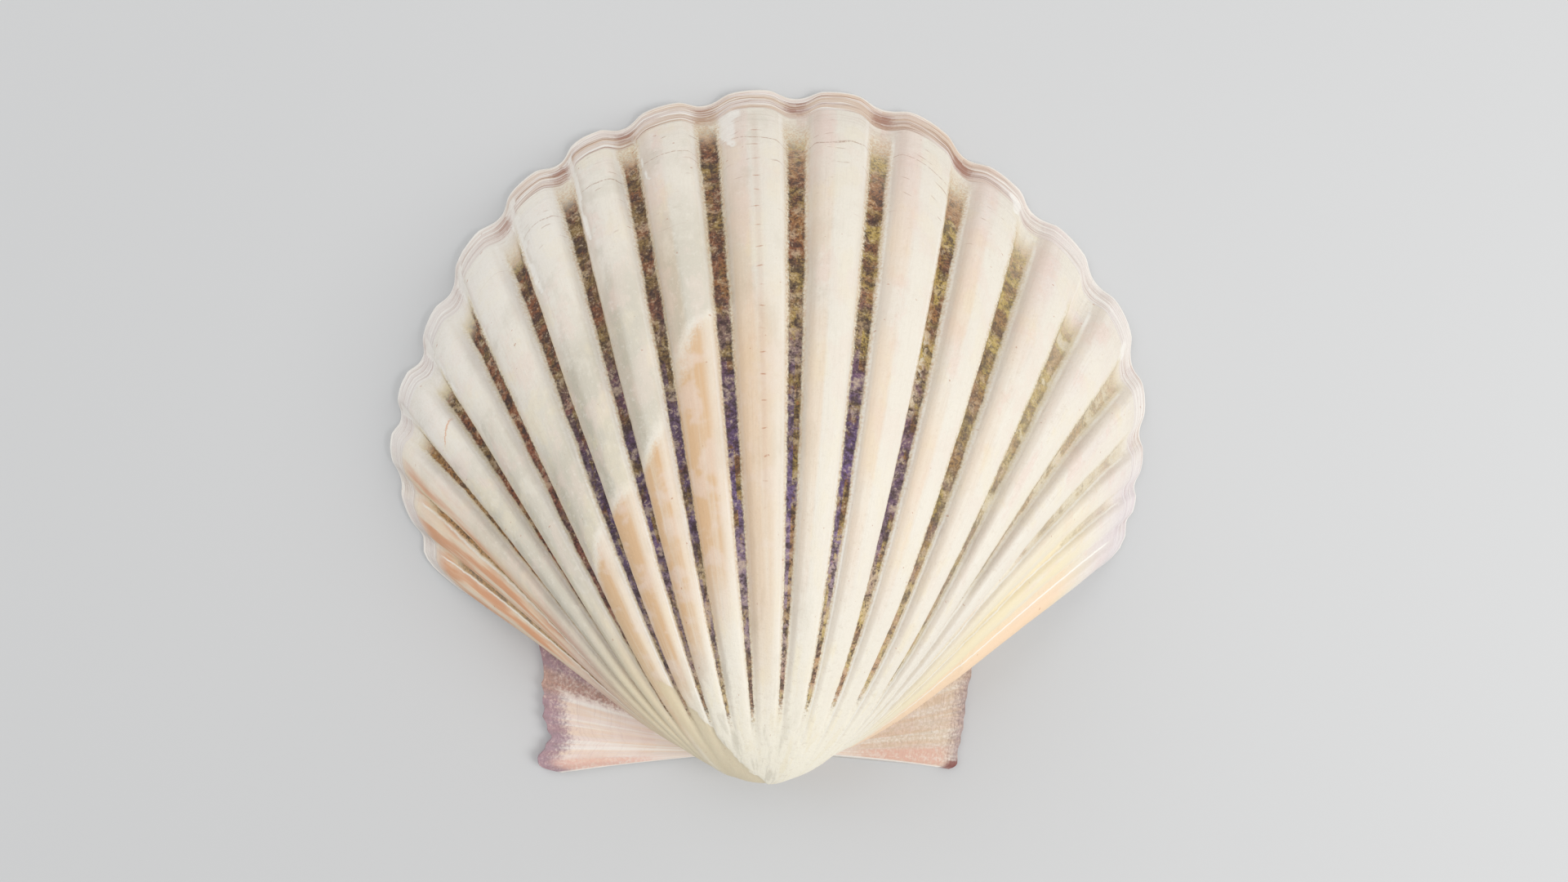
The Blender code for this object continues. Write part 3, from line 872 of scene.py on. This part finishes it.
def lay_flanks(w, tones):
    """Burnt orange on the notched flank, and straw, apricot and lavender on the plain one."""
    streak = w.noise(w.join(w.arc * 0.42, w.back * 0.035, 5.0), 1.0, 3.0, 0.55)
    notched = ease(w.bearing, *NOTCHED_FLANK) * ease(w.size, 0.12, 0.4) * ease(w.back, 3.0, 12.0)
    burnt = w.mix(ease(streak, 0.40, 0.62), tones.peach, tones.burnt)
    burnt = w.mix(ease(w.size, 0.62, 0.40) * 0.7, burnt, tones.orchid)
    w.lay(burnt, notched * ease(streak, 0.34, 0.54, 0.50, 0.85))
    plain = ease(w.bearing, *PLAIN_FLANK) * hill(w.size, 0.18, 0.35, 0.72, 0.90)
    w.lay(tones.straw, plain * ease(streak, 0.34, 0.54, 0.35, 0.8))
    glow = ease(w.bearing, *PLAIN_FLANK_EDGE) * hill(w.size, 0.06, 0.2, 0.72, 0.86)
    w.lay(tones.apricot, glow * 0.85)
    w.lay(tones.lavender, ease(w.bearing, 50.0, 58.0) * ease(w.size, 0.84, 0.97) * 0.7)


def lay_hem(w, tones):
    """The band of crowded growth lines at the rim."""
    width = w.noise(w.join(w.arc * 0.05, 2.0, 2.0), 1.0, 1.0) * HEM_SWAY + HEM_WIDTH
    band = ease(width - w.back, -0.25, 0.15)
    hem = w.mix(w.banded, tones.lavender, w.mix(w.lines["Band"], tones.beige, tones.lilac))
    w.lay(hem, band * ease(w.banded, 0.0, 1.0, 0.35, 0.8))
    crowd = larger(band, ease(w.back, 11.0, 3.0, 0.0, 0.55))
    lined = larger(w.banded, ease(w.near, 0.20, 0.05, 0.28, 0.55))
    w.lay(tones.umber, w.lines["Line"] * crowd * lined * 0.8)
    w.lay(tones.white, ease(w.lines["Height"], 0.46, 0.38) * band * 0.8)
    end_line = ease(abs(width - w.back), 0.13, 0.04)
    w.lay(tones.umber, end_line * w.banded * ease(w.drift, 0.40, 0.6, 0.0, 0.6))


def lay_hair_lines(w, tones):
    """The few thin growth lines behind the hem, the white rim, and a short crack on the notched side."""
    sway = w.noise(w.join(w.arc * 0.06 + w.rib_seed, w.back * 0.12, w.rib_seed), 1.0, 3.0, 0.6)
    beat = w.back * 0.30 + sway * 1.2
    w.hair = ease(abs(w.math("FRACT", beat) - 0.5), 0.040, 0.010)
    piece = w.noise(w.join(w.arc * 0.42 + w.rib_seed, math.floor(beat) * 3.7, 5.0), 1.0, 1.0)
    strokes = w.hair * ease(piece, 0.54, 0.68) * hill(w.back, 4.0, 7.0, 12.0, 40.0)
    w.lay(tones.umber, strokes * hill(w.count, *HAIR_RIBS) * 0.55)
    rested = ease(abs(w.back + (sway - 0.5) * 5.0 - REST_LINE), 0.16, 0.03) * hill(w.count, *RESTED_RIBS)
    w.lay(tones.umber, rested * ease(w.fuzz, 0.36, 0.56, 0.1, 0.6))
    w.lay(tones.white, ease(w.back, 0.5, 0.1) * 0.8)
    crack = w.size + w.count * CRACK_SLANT + w.fuzz * 0.012 - CRACK_AT
    crack = ease(abs(crack), 0.0030, 0.0008) * hill(w.count, *CRACKED_RIB) * ease(w.size, 0.8, 0.82)
    w.lay(tones.burnt, crack * 0.65)


def lay_edge_highlights_and_wear(w, tones):
    """Painted highlights on the rib edges beside the grooves, the white flaked wedges, the worn layer beside
    the beak and painted shade on the notched side's lower ribs.
    """
    # Painted highlight on the rib shoulders beside the grooves, stronger on the side towards the plain ear.
    shoulder_highlight = hill(w.near + w.fuzz * 0.03, 0.165, 0.18, 0.20, 0.23) * ease(w.size, 0.12, 0.4)
    shoulder_highlight = shoulder_highlight * ease(w.back, 5.0, 8.0) * ease(w.side, 0.4, 0.6, 0.2, 0.6)
    shoulder_highlight = shoulder_highlight * ease(w.bearing, -53.0, -46.0, 0.2, 1.0) * ease(w.streak, 0.36, 0.6, 0.25, 0.6)
    w.lay(tones.white, shoulder_highlight)
    # Painted highlight: a thin line along the rib edge on one side of each groove.
    edge_highlight = hill(w.near + w.fuzz * 0.012, 0.126, 0.138, 0.150, 0.176) * (1.0 - w.outer_side)
    edge_highlight = edge_highlight * ease(abs(w.bearing), 5.0, 14.0) * ease(w.size, 0.12, 0.3) * ease(w.back, 7.0, 11.0)
    w.lay(tones.white, edge_highlight * ease(w.streak, 0.34, 0.5, 0.55, 0.9))
    torn = ease(w.flaked + w.fuzz * 0.5, 0.35, 1.1) * ease(w.lines["Height"], 0.36, 0.52, 0.55, 0.75)
    w.lay(tones.white, torn)
    # Painted shade on the lower ribs of the notched side, in the worn layer's colours; the worn layer itself
    # is real wear.
    shaded_side = ease(w.count, 5.0, 3.6) * ease(w.size, 0.52, 0.30) * 0.75
    under = w.mix(ease(w.fuzz, 0.4, 0.6), tones.worn, tones.sand)
    w.lay(under, larger(shaded_side, ease(w.worn, 0.05, 0.75, 0.0, 0.8)))


def lay_groove_end_mauve(w, tones):
    """Mauve in the groove ends, just behind the rim."""
    reach = w.noise(w.join(w.groove_seed, 2.0, 6.0)) * 6.0 + 3.0
    spot = reach - (w.back + w.fuzz * 2.0)
    end = ease(w.near + w.fuzz * 0.16, 0.27, 0.13) * ease(w.back, 0.6, 1.6) * ease(spot, -1.0, 1.0)
    end = end * ease(w.banded, 0.2, 0.9, 0.12, 1.0)
    w.lay(tones.mauve, end * ease(w.lines["Height"], 0.42, 0.56, 0.30, 0.85))


def soil_colour(w, tones, edge, fresh, tint, wander):
    """The stain's colour: violet low in the middle, rusty on the notched side, yellow on the plain one."""
    jitter = (w.fuzz - 0.5) * 0.22
    hue = w.noise(w.join(w.groove_seed + w.side * 0.8, w.back * 0.13, 1.0), 1.0, 4.0, 0.6) + jitter
    central = ease(w.bearing, -42.0, -24.0) * ease(w.bearing, 12.0, 30.0, 1.0, 0.35)
    violet = ease(hue, 0.42, 0.52) * hill(w.size, 0.20, 0.28, 0.52, 0.74) * central
    rust = ease(tint, 0.50, 0.58) * ease(w.bearing, 5.0, -30.0, 0.5, 1.0) * ease(w.size, 0.2, 0.4)
    straw = ease(tint, 0.52, 0.42) * ease(w.bearing, -20.0, 34.0, 0.30, 1.0)
    reddish = ease(w.bearing, -29.0, -35.0) * hill(w.size, 0.2, 0.3, 0.62, 0.76)
    gloom = hill(w.size + (wander - 0.5) * 0.3, 0.44, 0.50, 0.58, 0.68)
    yellowed = ease(w.size + ease(w.bearing, 0.0, 24.0, 0.0, -0.10), 0.36, 0.25)
    clump = w.noise(w.where, 0.50, 2.0, 0.6)
    # Painted shade at the stain's soft edge on the groove wall, in sand.
    outline = ease(edge, 0.04, 0.0, 0.0, 0.6) * ease(w.outer_side, 0.0, 1.0, 0.35, 1.0)
    return w.stack(
        w.mix(ease(hue, 0.42, 0.56), tones.olive, tones.brown),
        (rust * 0.8, tones.rust),
        (straw * 0.9, tones.straw_stain),
        (violet * 0.85, tones.violet),
        (reddish * ease(tint, 0.40, 0.52, 0.3, 0.9), tones.red_earth),
        (ease(w.bearing, 8.0, -16.0, 0.0, 0.34), tones.soot),
        (ease(w.bearing, 14.0, 36.0, 0.0, 0.30), tones.straw_stain),
        (gloom * central * 0.35, tones.soot),
        (yellowed * 0.8, w.mix(ease(tint, 0.46, 0.54), tones.straw_stain, tones.tan)),
        (fresh * 0.65, w.mix(ease(tint, 0.44, 0.52), tones.straw_stain, tones.tan)),
        (ease(w.bearing, -43.0, -50.0) * 0.85, tones.ochre),
        (ease(w.size, 0.48, 0.38, 0.0, 0.25), tones.pale_grain),
        (ease(clump, 0.48, 0.36, 0.0, ease(w.bearing, 12.0, 40.0, 0.68, 0.40)), tones.soot),
        (ease(clump, 0.53, 0.66, 0.0, 0.40), tones.pale_grain),
        (outline, tones.sand),
    )


def lay_stain(w, groups, tones):
    """The stain in the grooves, wider on the side away from the middle of the fan."""
    lean = w.outer_side * ease(abs(w.bearing), 12.0, 34.0) * 0.10
    wander = w.noise(w.join(w.groove_seed, w.back * 0.16, 2.0), 1.0, 3.0)
    width = (wander * 0.06 + lean + 0.080) * ease(w.size, 0.20, 0.55, 0.62, 1.0)
    feathered = (w.fuzz - 0.5) * (w.outer_side * 0.06 + 0.03)
    edge = width + feathered - w.near + 0.005
    start, end, density = w.split(w.attribute("stain_at"))
    begin = w.back - (start + w.fuzz * 4.0 - 2.0)
    finish = w.size - end + w.fuzz * 0.06 - 0.03
    middle = hill(w.count, -0.35, -0.1, len(GROOVES) - 0.9, len(GROOVES) - 0.65)
    w.stain = ease(edge, -0.006, 0.026) * ease(begin, -1.5, 4.0) * ease(finish, 0.0, 0.03) * middle

    # Painted shade on the groove walls around it, sand to tan, starting a little before the stain.
    wall_shade_start = ease(begin, ease(w.banded, 0.0, 1.0, -3.5, -7.5), 0.5)
    wall_shade = ease(edge, -0.06, 0.01) * wall_shade_start * ease(finish, -0.02, 0.08) * middle * density
    wall_shade_colour = w.mix(w.banded * ease(w.fuzz, 0.42, 0.60) * 0.6, tones.sand, tones.tan)
    w.lay(wall_shade_colour, wall_shade * ease(w.fuzz, 0.35, 0.6, 0.35, 0.8))

    # Its grains, thinner and patchy towards the plain ear, and chipped off at one place.
    tint = w.noise(w.join(w.groove_seed + 31.0, w.back * 0.18, w.near * 2.0), 1.0, 4.0, 0.6)
    tint = tint - (w.fuzz - 0.5) * 0.22
    fresh = ease(begin, ease(w.bearing, -8.0, 12.0, 5.0, 17.0), 1.0)
    soil = soil_colour(w, tones, edge, fresh, tint, wander)
    dark = w.mix(ease(w.bearing, 12.0, 44.0, 0.80, 0.55), soil, tones.soot)
    light = w.mix(0.50, soil, tones.pale_grain)
    w.grains = w.group(groups["granules"], Where=w.where, Fineness=2.7, Body=soil, Dark=dark, Light=light)
    chips = hill(w.count, *CHIPPED_GROOVE) * hill(w.size, *CHIPPED_SIZES)
    chips = chips * ease(w.noise(w.where, 0.8, 3.0, 0.6), 0.48, 0.54)
    thin = density * (1.0 - chips * 0.85) * ease(w.bearing, 20.0, 50.0, 1.0, 0.62) * (1.0 - fresh * 0.3)
    patchy = ease(tint + ease(w.bearing, 18.0, 46.0, 0.3, -0.02), 0.40, 0.50)
    w.lay(w.grains["Colour"], w.stain * thin * patchy * 0.97)


def lay_specks(w, tones):
    """Dashes along the middle rib, and a few specks strewn over the others."""
    strewn = w.noise(w.join(w.arc * 0.7, w.back * 1.1, 17.0), 1.0, 2.0, 0.4)
    stem = hill(w.count + w.fuzz * 0.05, *DASHED_LINE) * ease(w.back, 6.0, 12.0) * ease(w.size, 0.42, 0.55)
    w.lay(tones.rust, stem * (w.hair * ease(strewn, 0.42, 0.56, 0.05, 0.6) + 0.12))
    w.lay(tones.rust, ease(strewn, 0.735, 0.77) * 0.5)


def fan_material(groups, tones):
    """The ribbed fan: ivory ribs with peach streaks, painted highlights and shade on their sides, growth
    lines and stained grooves.
    """
    w = Finish("ribbed_fan")
    w.read_surface()
    read_ribs(w)
    w.chalk = w.group(groups["chalk"], Where=w.where, Colour=tones.ivory, Cloud=tones.chalk, Amount=0.7)
    w.lines = w.group(groups["growth lines"], Arc=w.arc, Back=w.back, Seed=w.rib_seed * 0.02, Fineness=1.0)
    for coat in (lay_body, lay_rib_highlight_and_shade, lay_flush, lay_flanks, lay_hem, lay_hair_lines, lay_edge_highlights_and_wear):
        coat(w, tones)
    lay_groove_end_mauve(w, tones)
    lay_stain(w, groups, tones)
    lay_specks(w, tones)
    grown = ease(w.size, 0.15, 0.5, 0.0, 0.5)
    heights = (
        w.lines["Height"] * ease(w.back, 20.0, 4.0, 0.22, 1.5), w.grains["Height"] * w.stain * 2.2,
        w.chalk["Height"] * 0.35, w.powder * 0.8, w.streak * grown, w.fibre * grown,
    )
    rough = w.chalk["Roughness"] * (1.0 - w.stain * 0.2) + w.stain * 0.3
    return w.close(rough, heights, SHELL_RELIEF)


def ear_material(groups, tones):
    """The ears: pink and cream with fine growth lines, and granular stain along the fan and the edge."""
    w = Finish("ears")
    w.read_surface()
    plain = ease(w.bearing, -20.0, 20.0)
    away = abs(w.bearing)
    fuzz = w.noise(w.where, 2.2, 3.0, 0.6)
    chalk = w.group(groups["chalk"], Where=w.where, Colour=tones.ear_cream, Cloud=tones.rose, Amount=0.8)
    wave = w.noise(w.join(away * 0.5, w.size * 2.0, 6.0), 1.0, 2.0) * 1.2
    lines = w.group(groups["growth lines"], Arc=w.arc, Back=w.back * 0.34 + wave, Seed=4.0, Fineness=1.1)
    streak = w.noise(w.join(away * 0.75, w.back * 0.02, plain), 1.0, 3.0, 0.6)
    w.toned = w.mix(ease(streak, 0.42, 0.62, 0.0, 0.4), chalk["Colour"], tones.peach)
    rays = w.noise(w.join(away * 0.55, w.size * 0.6, 2.0), 1.0, 2.0)
    w.lay(tones.white, ease(rays, 0.46, 0.60) * 0.6)
    middle = w.mix(0.35, tones.sand, tones.mauve)
    w.lay(middle, plain * ease(w.size, 0.30, 0.62) * ease(fuzz, 0.35, 0.6, 0.2, 0.6))

    # Granular stain in a wedge beside the fan, and around the outer edge.
    wedge = ease(fuzz * 5.0 - plain + EAR_WEDGE - away, 0.0, 3.5) * ease(w.size, 0.16, 0.40)
    rim = ease(w.size + fuzz * 0.16, ease(plain, 0.0, 1.0, 0.94, 0.99), ease(plain, 0.0, 1.0, 1.04, 1.10))
    stain = larger(wedge * ease(fuzz, 0.3, 0.6, 0.6, 1.0), rim * 0.95)
    soil = w.mix(hill(away, *EAR_OLIVE) * 0.55, tones.mauve_stain, tones.tan)
    soil = w.mix(plain * 0.6, soil, tones.slate)
    dark, light = w.mix(0.34, soil, tones.soot), w.mix(0.6, soil, tones.rose)
    grains = w.group(groups["granules"], Where=w.where, Fineness=2.6, Body=soil, Dark=dark, Light=light)
    w.lay(grains["Colour"], stain * 0.82)
    w.lay(tones.mauve_stain, lines["Line"] * ease(w.size, 0.45, 0.95, 0.02, 0.18))

    # The salmon band along the hinge, its white edge and the dark corner of the plain ear.
    hinge = ease(away + fuzz * 1.6, *HINGE_BAND) * hill(w.size, 0.40, 0.62, 0.90, 0.98)
    w.lay(tones.salmon, hinge * ease(fuzz, 0.35, 0.6, 0.35, 0.8))
    hinge_line = plain * PLAIN_HINGE_SHIFT + HINGE_LINE
    w.lay(tones.white, ease(away, hinge_line, hinge_line + 0.5) * 0.85)
    corner = plain * ease(away + fuzz * 2.0, *EAR_CORNER) * ease(w.size, 0.93, 0.97)
    w.lay(tones.wine, corner * 0.8)
    heights = (
        lines["Height"] * ease(w.size, 0.35, 0.9, 0.5, 1.4), grains["Height"] * (stain * 1.2 + 0.3),
        chalk["Height"] * 0.3,
    )
    return w.close(chalk["Roughness"], heights, SHELL_RELIEF)


def underside_material(groups, tones):
    """The inner face: porcelain white, warmer under the beak, with the mantle's line and the muscle scar."""
    w = Finish("inner_face")
    w.read_surface()
    chalk = w.group(groups["chalk"], Where=w.where, Colour=tones.porcelain, Cloud=tones.cream, Amount=0.6)
    lines = w.group(groups["growth lines"], Arc=w.arc, Back=w.back, Seed=9.0, Fineness=0.7)
    w.toned = w.mix(ease(w.size, 0.62, 0.25, 0.0, 0.75), chalk["Colour"], tones.apricot)
    on_fan = ease(abs(w.bearing), 66.0, 56.0)
    mantle = hill(w.size + w.noise(w.where, 0.1) * 0.04, *MANTLE_LINE)
    w.lay(tones.beige, mantle * on_fan * 0.26)
    ahead = (w.bearing - SCAR_BEARING) * (1.0 / SCAR_HALF_WIDTH)
    below = (w.size - SCAR_SIZE) * (1.0 / SCAR_HALF_HEIGHT)
    from_scar = ahead * ahead + below * below
    w.lay(tones.chalk, ease(from_scar, 1.1, 0.8, 0.0, 0.55))
    w.lay(w.mix(0.22, w.toned, tones.beige), hill(from_scar, 0.7, 0.95, 1.0, 1.25))
    w.lay(tones.mauve, lines["Line"] * ease(w.back, 14.0, 1.0, 0.04, 0.45))
    w.lay(tones.sand, ease(w.size, 0.20, 0.10) * 0.5)
    rough = chalk["Roughness"] * 0.55 + (1.0 - w.size) * 0.05
    return w.close(rough, (lines["Height"] * 0.5, chalk["Height"] * 0.25), INNER_RELIEF)


def add_mesh(name, points, faces):
    """A smooth-shaded mesh object in the scene."""
    mesh = bpy.data.meshes.new(name)
    mesh.from_pydata(points, [], faces)
    made = bpy.data.objects.new(name, mesh)
    bpy.context.scene.collection.objects.link(made)
    return made


def build_valve(sizes, tones):
    """The valve as one closed mesh, with its surface coordinates and its three materials."""
    sheet, inner_total = grow_valve(sizes)
    points = np.concatenate(sheet.points)
    points[:, :2] += BEAK
    points[:, 2] = np.maximum(points[:, 2], 0.0)
    valve = add_mesh("valve", (points * MM).tolist(), sheet.faces)
    for name, rows in sheet.layers.items():
        layer = valve.data.attributes.new(name, "FLOAT_VECTOR", "POINT")
        layer.data.foreach_set("vector", np.concatenate(rows).astype(np.float32).ravel())
    groups = {"granules": granules_group(), "growth lines": growth_lines_group(), "chalk": chalk_group()}
    for make in (fan_material, ear_material, underside_material):
        valve.data.materials.append(make(groups, tones))
    valve.data.polygons.foreach_set("material_index", face_materials(sheet, inner_total))
    valve.data.shade_smooth()
    return valve


def camera_matrix():
    """Where the camera stands over the valve, in the row frame."""
    turn = Euler(CAMERA_TURN, "XYZ").to_matrix()
    at = -(turn.transposed() @ Vector(BEAK_SEEN))
    at.x += BEAK[0]
    at.y += BEAK[1]
    return Matrix.Translation(at * MM) @ turn.transposed().to_4x4()


def add_camera():
    """The camera, at the photo's angle."""
    data = bpy.data.cameras.new("camera")
    data.sensor_width = SENSOR
    data.lens = SENSOR * LENS_PIXELS / FRAME_PIXELS
    data.clip_start = CAMERA_NEAR
    camera = bpy.data.objects.new("camera", data)
    bpy.context.scene.collection.objects.link(camera)
    camera.matrix_world = camera_matrix()
    bpy.context.scene.camera = camera


def add_light(name, at, side, power, colour):
    """A square soft light that faces the valve."""
    data = bpy.data.lights.new(name, "AREA")
    data.size = side
    data.energy = power
    data.color = colour
    light = bpy.data.objects.new(name, data)
    light.location = at
    light.rotation_euler = (Vector(LIGHTS_FACE) - Vector(at)).to_track_quat("-Z", "Y").to_euler()
    bpy.context.scene.collection.objects.link(light)


def floor_material(stage):
    """Pale grey, with a little unevenness."""
    w = Finish("pale_table")
    cloud = w.noise(w.one("Object", "TexCoord", {}), 2.0, 2.0)
    darker = tuple(0.96 * part for part in stage.floor_colour)
    w.feed(w.shader["Base Color"], w.mix(ease(cloud, 0.3, 0.7), stage.floor_colour, darker))
    w.feed(w.shader["Roughness"], ease(cloud, 0.3, 0.7, 0.82, 0.9))
    return w.material


def build_stage(stage):
    """The table, the camera, the two lights and the light of the room."""
    half = stage.floor_size / 2.0
    corners = [(-half, -half, 0.0), (half, -half, 0.0), (half, half, 0.0), (-half, half, 0.0)]
    floor = add_mesh("table", corners, [(0, 1, 2, 3)])
    floor.data.materials.append(floor_material(stage))
    floor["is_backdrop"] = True
    add_camera()
    add_light("key", KEY_AT, KEY_SIDE, stage.key_power, KEY_COLOUR)
    add_light("fill", FILL_AT, FILL_SIDE, stage.fill_power, FILL_COLOUR)
    world = bpy.data.worlds.new("studio")
    world.use_nodes = True
    background = world.node_tree.nodes["Background"]
    background.inputs["Color"].default_value = (1.0, 1.0, 1.0, 1.0)
    background.inputs["Strength"].default_value = stage.sky
    bpy.context.scene.world = world
    bpy.context.scene.view_settings.view_transform = "Standard"


class SCALLOP_PG_sizes(PropertyGroup):
    """Sizes of the valve's relief."""

    rib_height: length("Rib height", "Height of a middle rib over its grooves", 3.0, 4.0, 0.5)
    lamina_height: length("Growth step", "Height of the growth steps at the rim", 0.12, 0.5)
    crust_height: length("Crust", "Roughness of the crust in the grooves", 0.09, 0.5)
    riblet_height: length("Riblet height", "Height of the fine ribs on the ears", 0.32, 1.0)


class SCALLOP_PG_tones(PropertyGroup):
    """Colours of the valve."""

    ivory: tone("Ivory", "Body of the ribs", 234, 227, 215)
    chalk: tone("Chalk", "Paler clouds on the ribs", 238, 233, 221)
    cream: tone("Cream", "Smooth shell at the beak", 248, 242, 224)
    lilac: tone("Lilac", "Tint of the ribs towards the rim", 228, 215, 209)
    rose: tone("Rose", "Pink streaks on the ribs and ears", 234, 210, 198)
    peach: tone("Peach", "Streaks along the ribs", 236, 208, 176)
    burnt: tone("Burnt orange", "Streaks on the notched flank", 218, 154, 108)
    apricot: tone("Apricot", "Glow beside the plain ear", 246, 214, 182)
    straw: tone("Straw", "Plain flank", 240, 226, 188)
    # White is also the painted highlight on the rib edges beside the grooves; the flaked wedges are real.
    white: tone("White", "Worn shoulders and flaked wedges", 248, 245, 238)
    # Snow is also the painted rim light at the rim end of the notched side's ribs.
    snow: tone("Snow", "Rim end of the notched side's ribs", 241, 237, 230)
    # Bright is also the painted highlight on the side of the ribs towards the plain ear.
    bright: tone("Bright", "Side of the ribs towards the plain ear", 236, 229, 215)
    # Tan is also the painted shade on the groove walls ahead of the stain, near the rim.
    tan: tone("Tan", "Dust where the stain begins", 192, 140, 96)
    # Painted shadow, grey-green, on the middle ribs and on the notched side's lower ribs.
    painted_shadow: tone("Cool", "Patch of the middle ribs", 189, 183, 165)
    shade: tone("Shade", "Side of the ribs towards the notched ear", 210, 196, 180)
    amber: tone("Amber", "Flush on the lower middle ribs", 220, 184, 144)
    orchid: tone("Orchid", "Flank under the notched side", 196, 150, 148)
    lavender: tone("Lavender", "Rim of the plain flank", 226, 218, 222)
    beige: tone("Beige", "Growth bands", 214, 188, 166)
    umber: tone("Umber", "Growth lines", 160, 116, 88)
    mauve: tone("Mauve", "Growth bands in the groove ends", 164, 118, 100)
    # Sand is also the painted shade on the groove walls and at the stain's soft edge.
    sand: tone("Sand", "Dust in the groove ends", 222, 208, 174)
    worn: tone("Worn", "Layer under the white one at the beak", 222, 205, 172)
    pale_grain: tone("Pale grains", "Lightest grains of the stain", 232, 210, 178)
    ochre: tone("Ochre", "Stain on the notched flank", 194, 142, 76)
    olive: tone("Olive", "Stain in the grooves", 156, 122, 74)
    brown: tone("Brown", "Darker stain in the grooves", 124, 86, 64)
    rust: tone("Rust", "Rusty stain and specks", 176, 106, 64)
    red_earth: tone("Red earth", "Stain of the notched side's lower grooves", 188, 112, 78)
    violet: tone("Violet", "Violet stain in the grooves", 120, 98, 160)
    straw_stain: tone("Straw stain", "Yellow stain in the grooves", 204, 178, 98)
    soot: tone("Soot", "Darkest grains", 56, 38, 42)
    slate: tone("Slate", "Stain on the plain ear", 182, 168, 166)
    mauve_stain: tone("Mauve stain", "Stain on the notched ear", 154, 114, 134)
    salmon: tone("Salmon", "Band along the hinge", 228, 182, 166)
    wine: tone("Wine", "Corner of the plain ear", 132, 62, 56)
    ear_cream: tone("Ear cream", "Body of the ears", 240, 228, 220)
    porcelain: tone("Porcelain", "Inner face", 244, 239, 230)


class SCALLOP_PG_stage(PropertyGroup):
    """The table, the lights and the room."""

    floor_colour: tone("Table", "Colour of the table", 208, 209, 210)
    floor_size: FloatProperty(
        name="Table size", description="Side of the table", default=12.0, min=0.5, unit="LENGTH"
    )
    key_power: FloatProperty(
        name="Key light", description="Power of the main light", default=1.80, min=0.0, unit="POWER"
    )
    fill_power: FloatProperty(
        name="Fill light", description="Power of the second light", default=1.62, min=0.0, unit="POWER"
    )
    sky: FloatProperty(
        name="Room light", description="Strength of the light from all sides", default=0.62, min=0.0
    )


class SCALLOP_OT_valve(Operator):
    """Grow the valve and colour it"""

    bl_idname = "scallop.valve"
    bl_label = "Valve"
    bl_options = {"REGISTER", "UNDO"}

    def execute(self, context):
        valve = build_valve(context.scene.scallop_sizes, context.scene.scallop_tones)
        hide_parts(NODE)
        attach(valve, "root")
        return {"FINISHED"}


class SCALLOP_OT_stage(Operator):
    """Set the table, the lights and the camera"""

    bl_idname = "scallop.stage"
    bl_label = "Stage"
    bl_options = {"REGISTER", "UNDO"}

    def execute(self, context):
        build_stage(context.scene.scallop_stage)
        return {"FINISHED"}


class SCALLOP_PT_panel(Panel):
    """The valve's and the stage's settings"""

    bl_idname = "SCALLOP_PT_panel"
    bl_label = "Scallop valve"
    bl_space_type = "VIEW_3D"
    bl_region_type = "UI"
    bl_category = "Scallop"

    def draw(self, context):
        groups = (
            (SCALLOP_OT_valve, context.scene.scallop_sizes, context.scene.scallop_tones),
            (SCALLOP_OT_stage, context.scene.scallop_stage),
        )
        for operator, *settings in groups:
            box = self.layout.box()
            for held in settings:
                for name in held.__annotations__:
                    box.prop(held, name)
            box.operator(operator.bl_idname)


CLASSES = (
    SCALLOP_PG_sizes, SCALLOP_PG_tones, SCALLOP_PG_stage,
    SCALLOP_OT_valve, SCALLOP_OT_stage, SCALLOP_PT_panel,
)


def register():
    for kind in CLASSES:
        bpy.utils.register_class(kind)
    bpy.types.Scene.scallop_sizes = PointerProperty(type=SCALLOP_PG_sizes)
    bpy.types.Scene.scallop_tones = PointerProperty(type=SCALLOP_PG_tones)
    bpy.types.Scene.scallop_stage = PointerProperty(type=SCALLOP_PG_stage)


def unregister():
    del bpy.types.Scene.scallop_sizes, bpy.types.Scene.scallop_tones, bpy.types.Scene.scallop_stage
    for kind in reversed(CLASSES):
        bpy.utils.unregister_class(kind)


def corners(bounds):
    """The two corners of a box as plain lists."""
    return [[float(value) for value in corner] for corner in bounds]


def main():
    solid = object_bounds()
    register()
    bpy.ops.scallop.valve()
    bpy.ops.scallop.stage()
    {"cad": corners(solid), "visual": corners(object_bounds())}


if __name__ == "__main__":
    main()
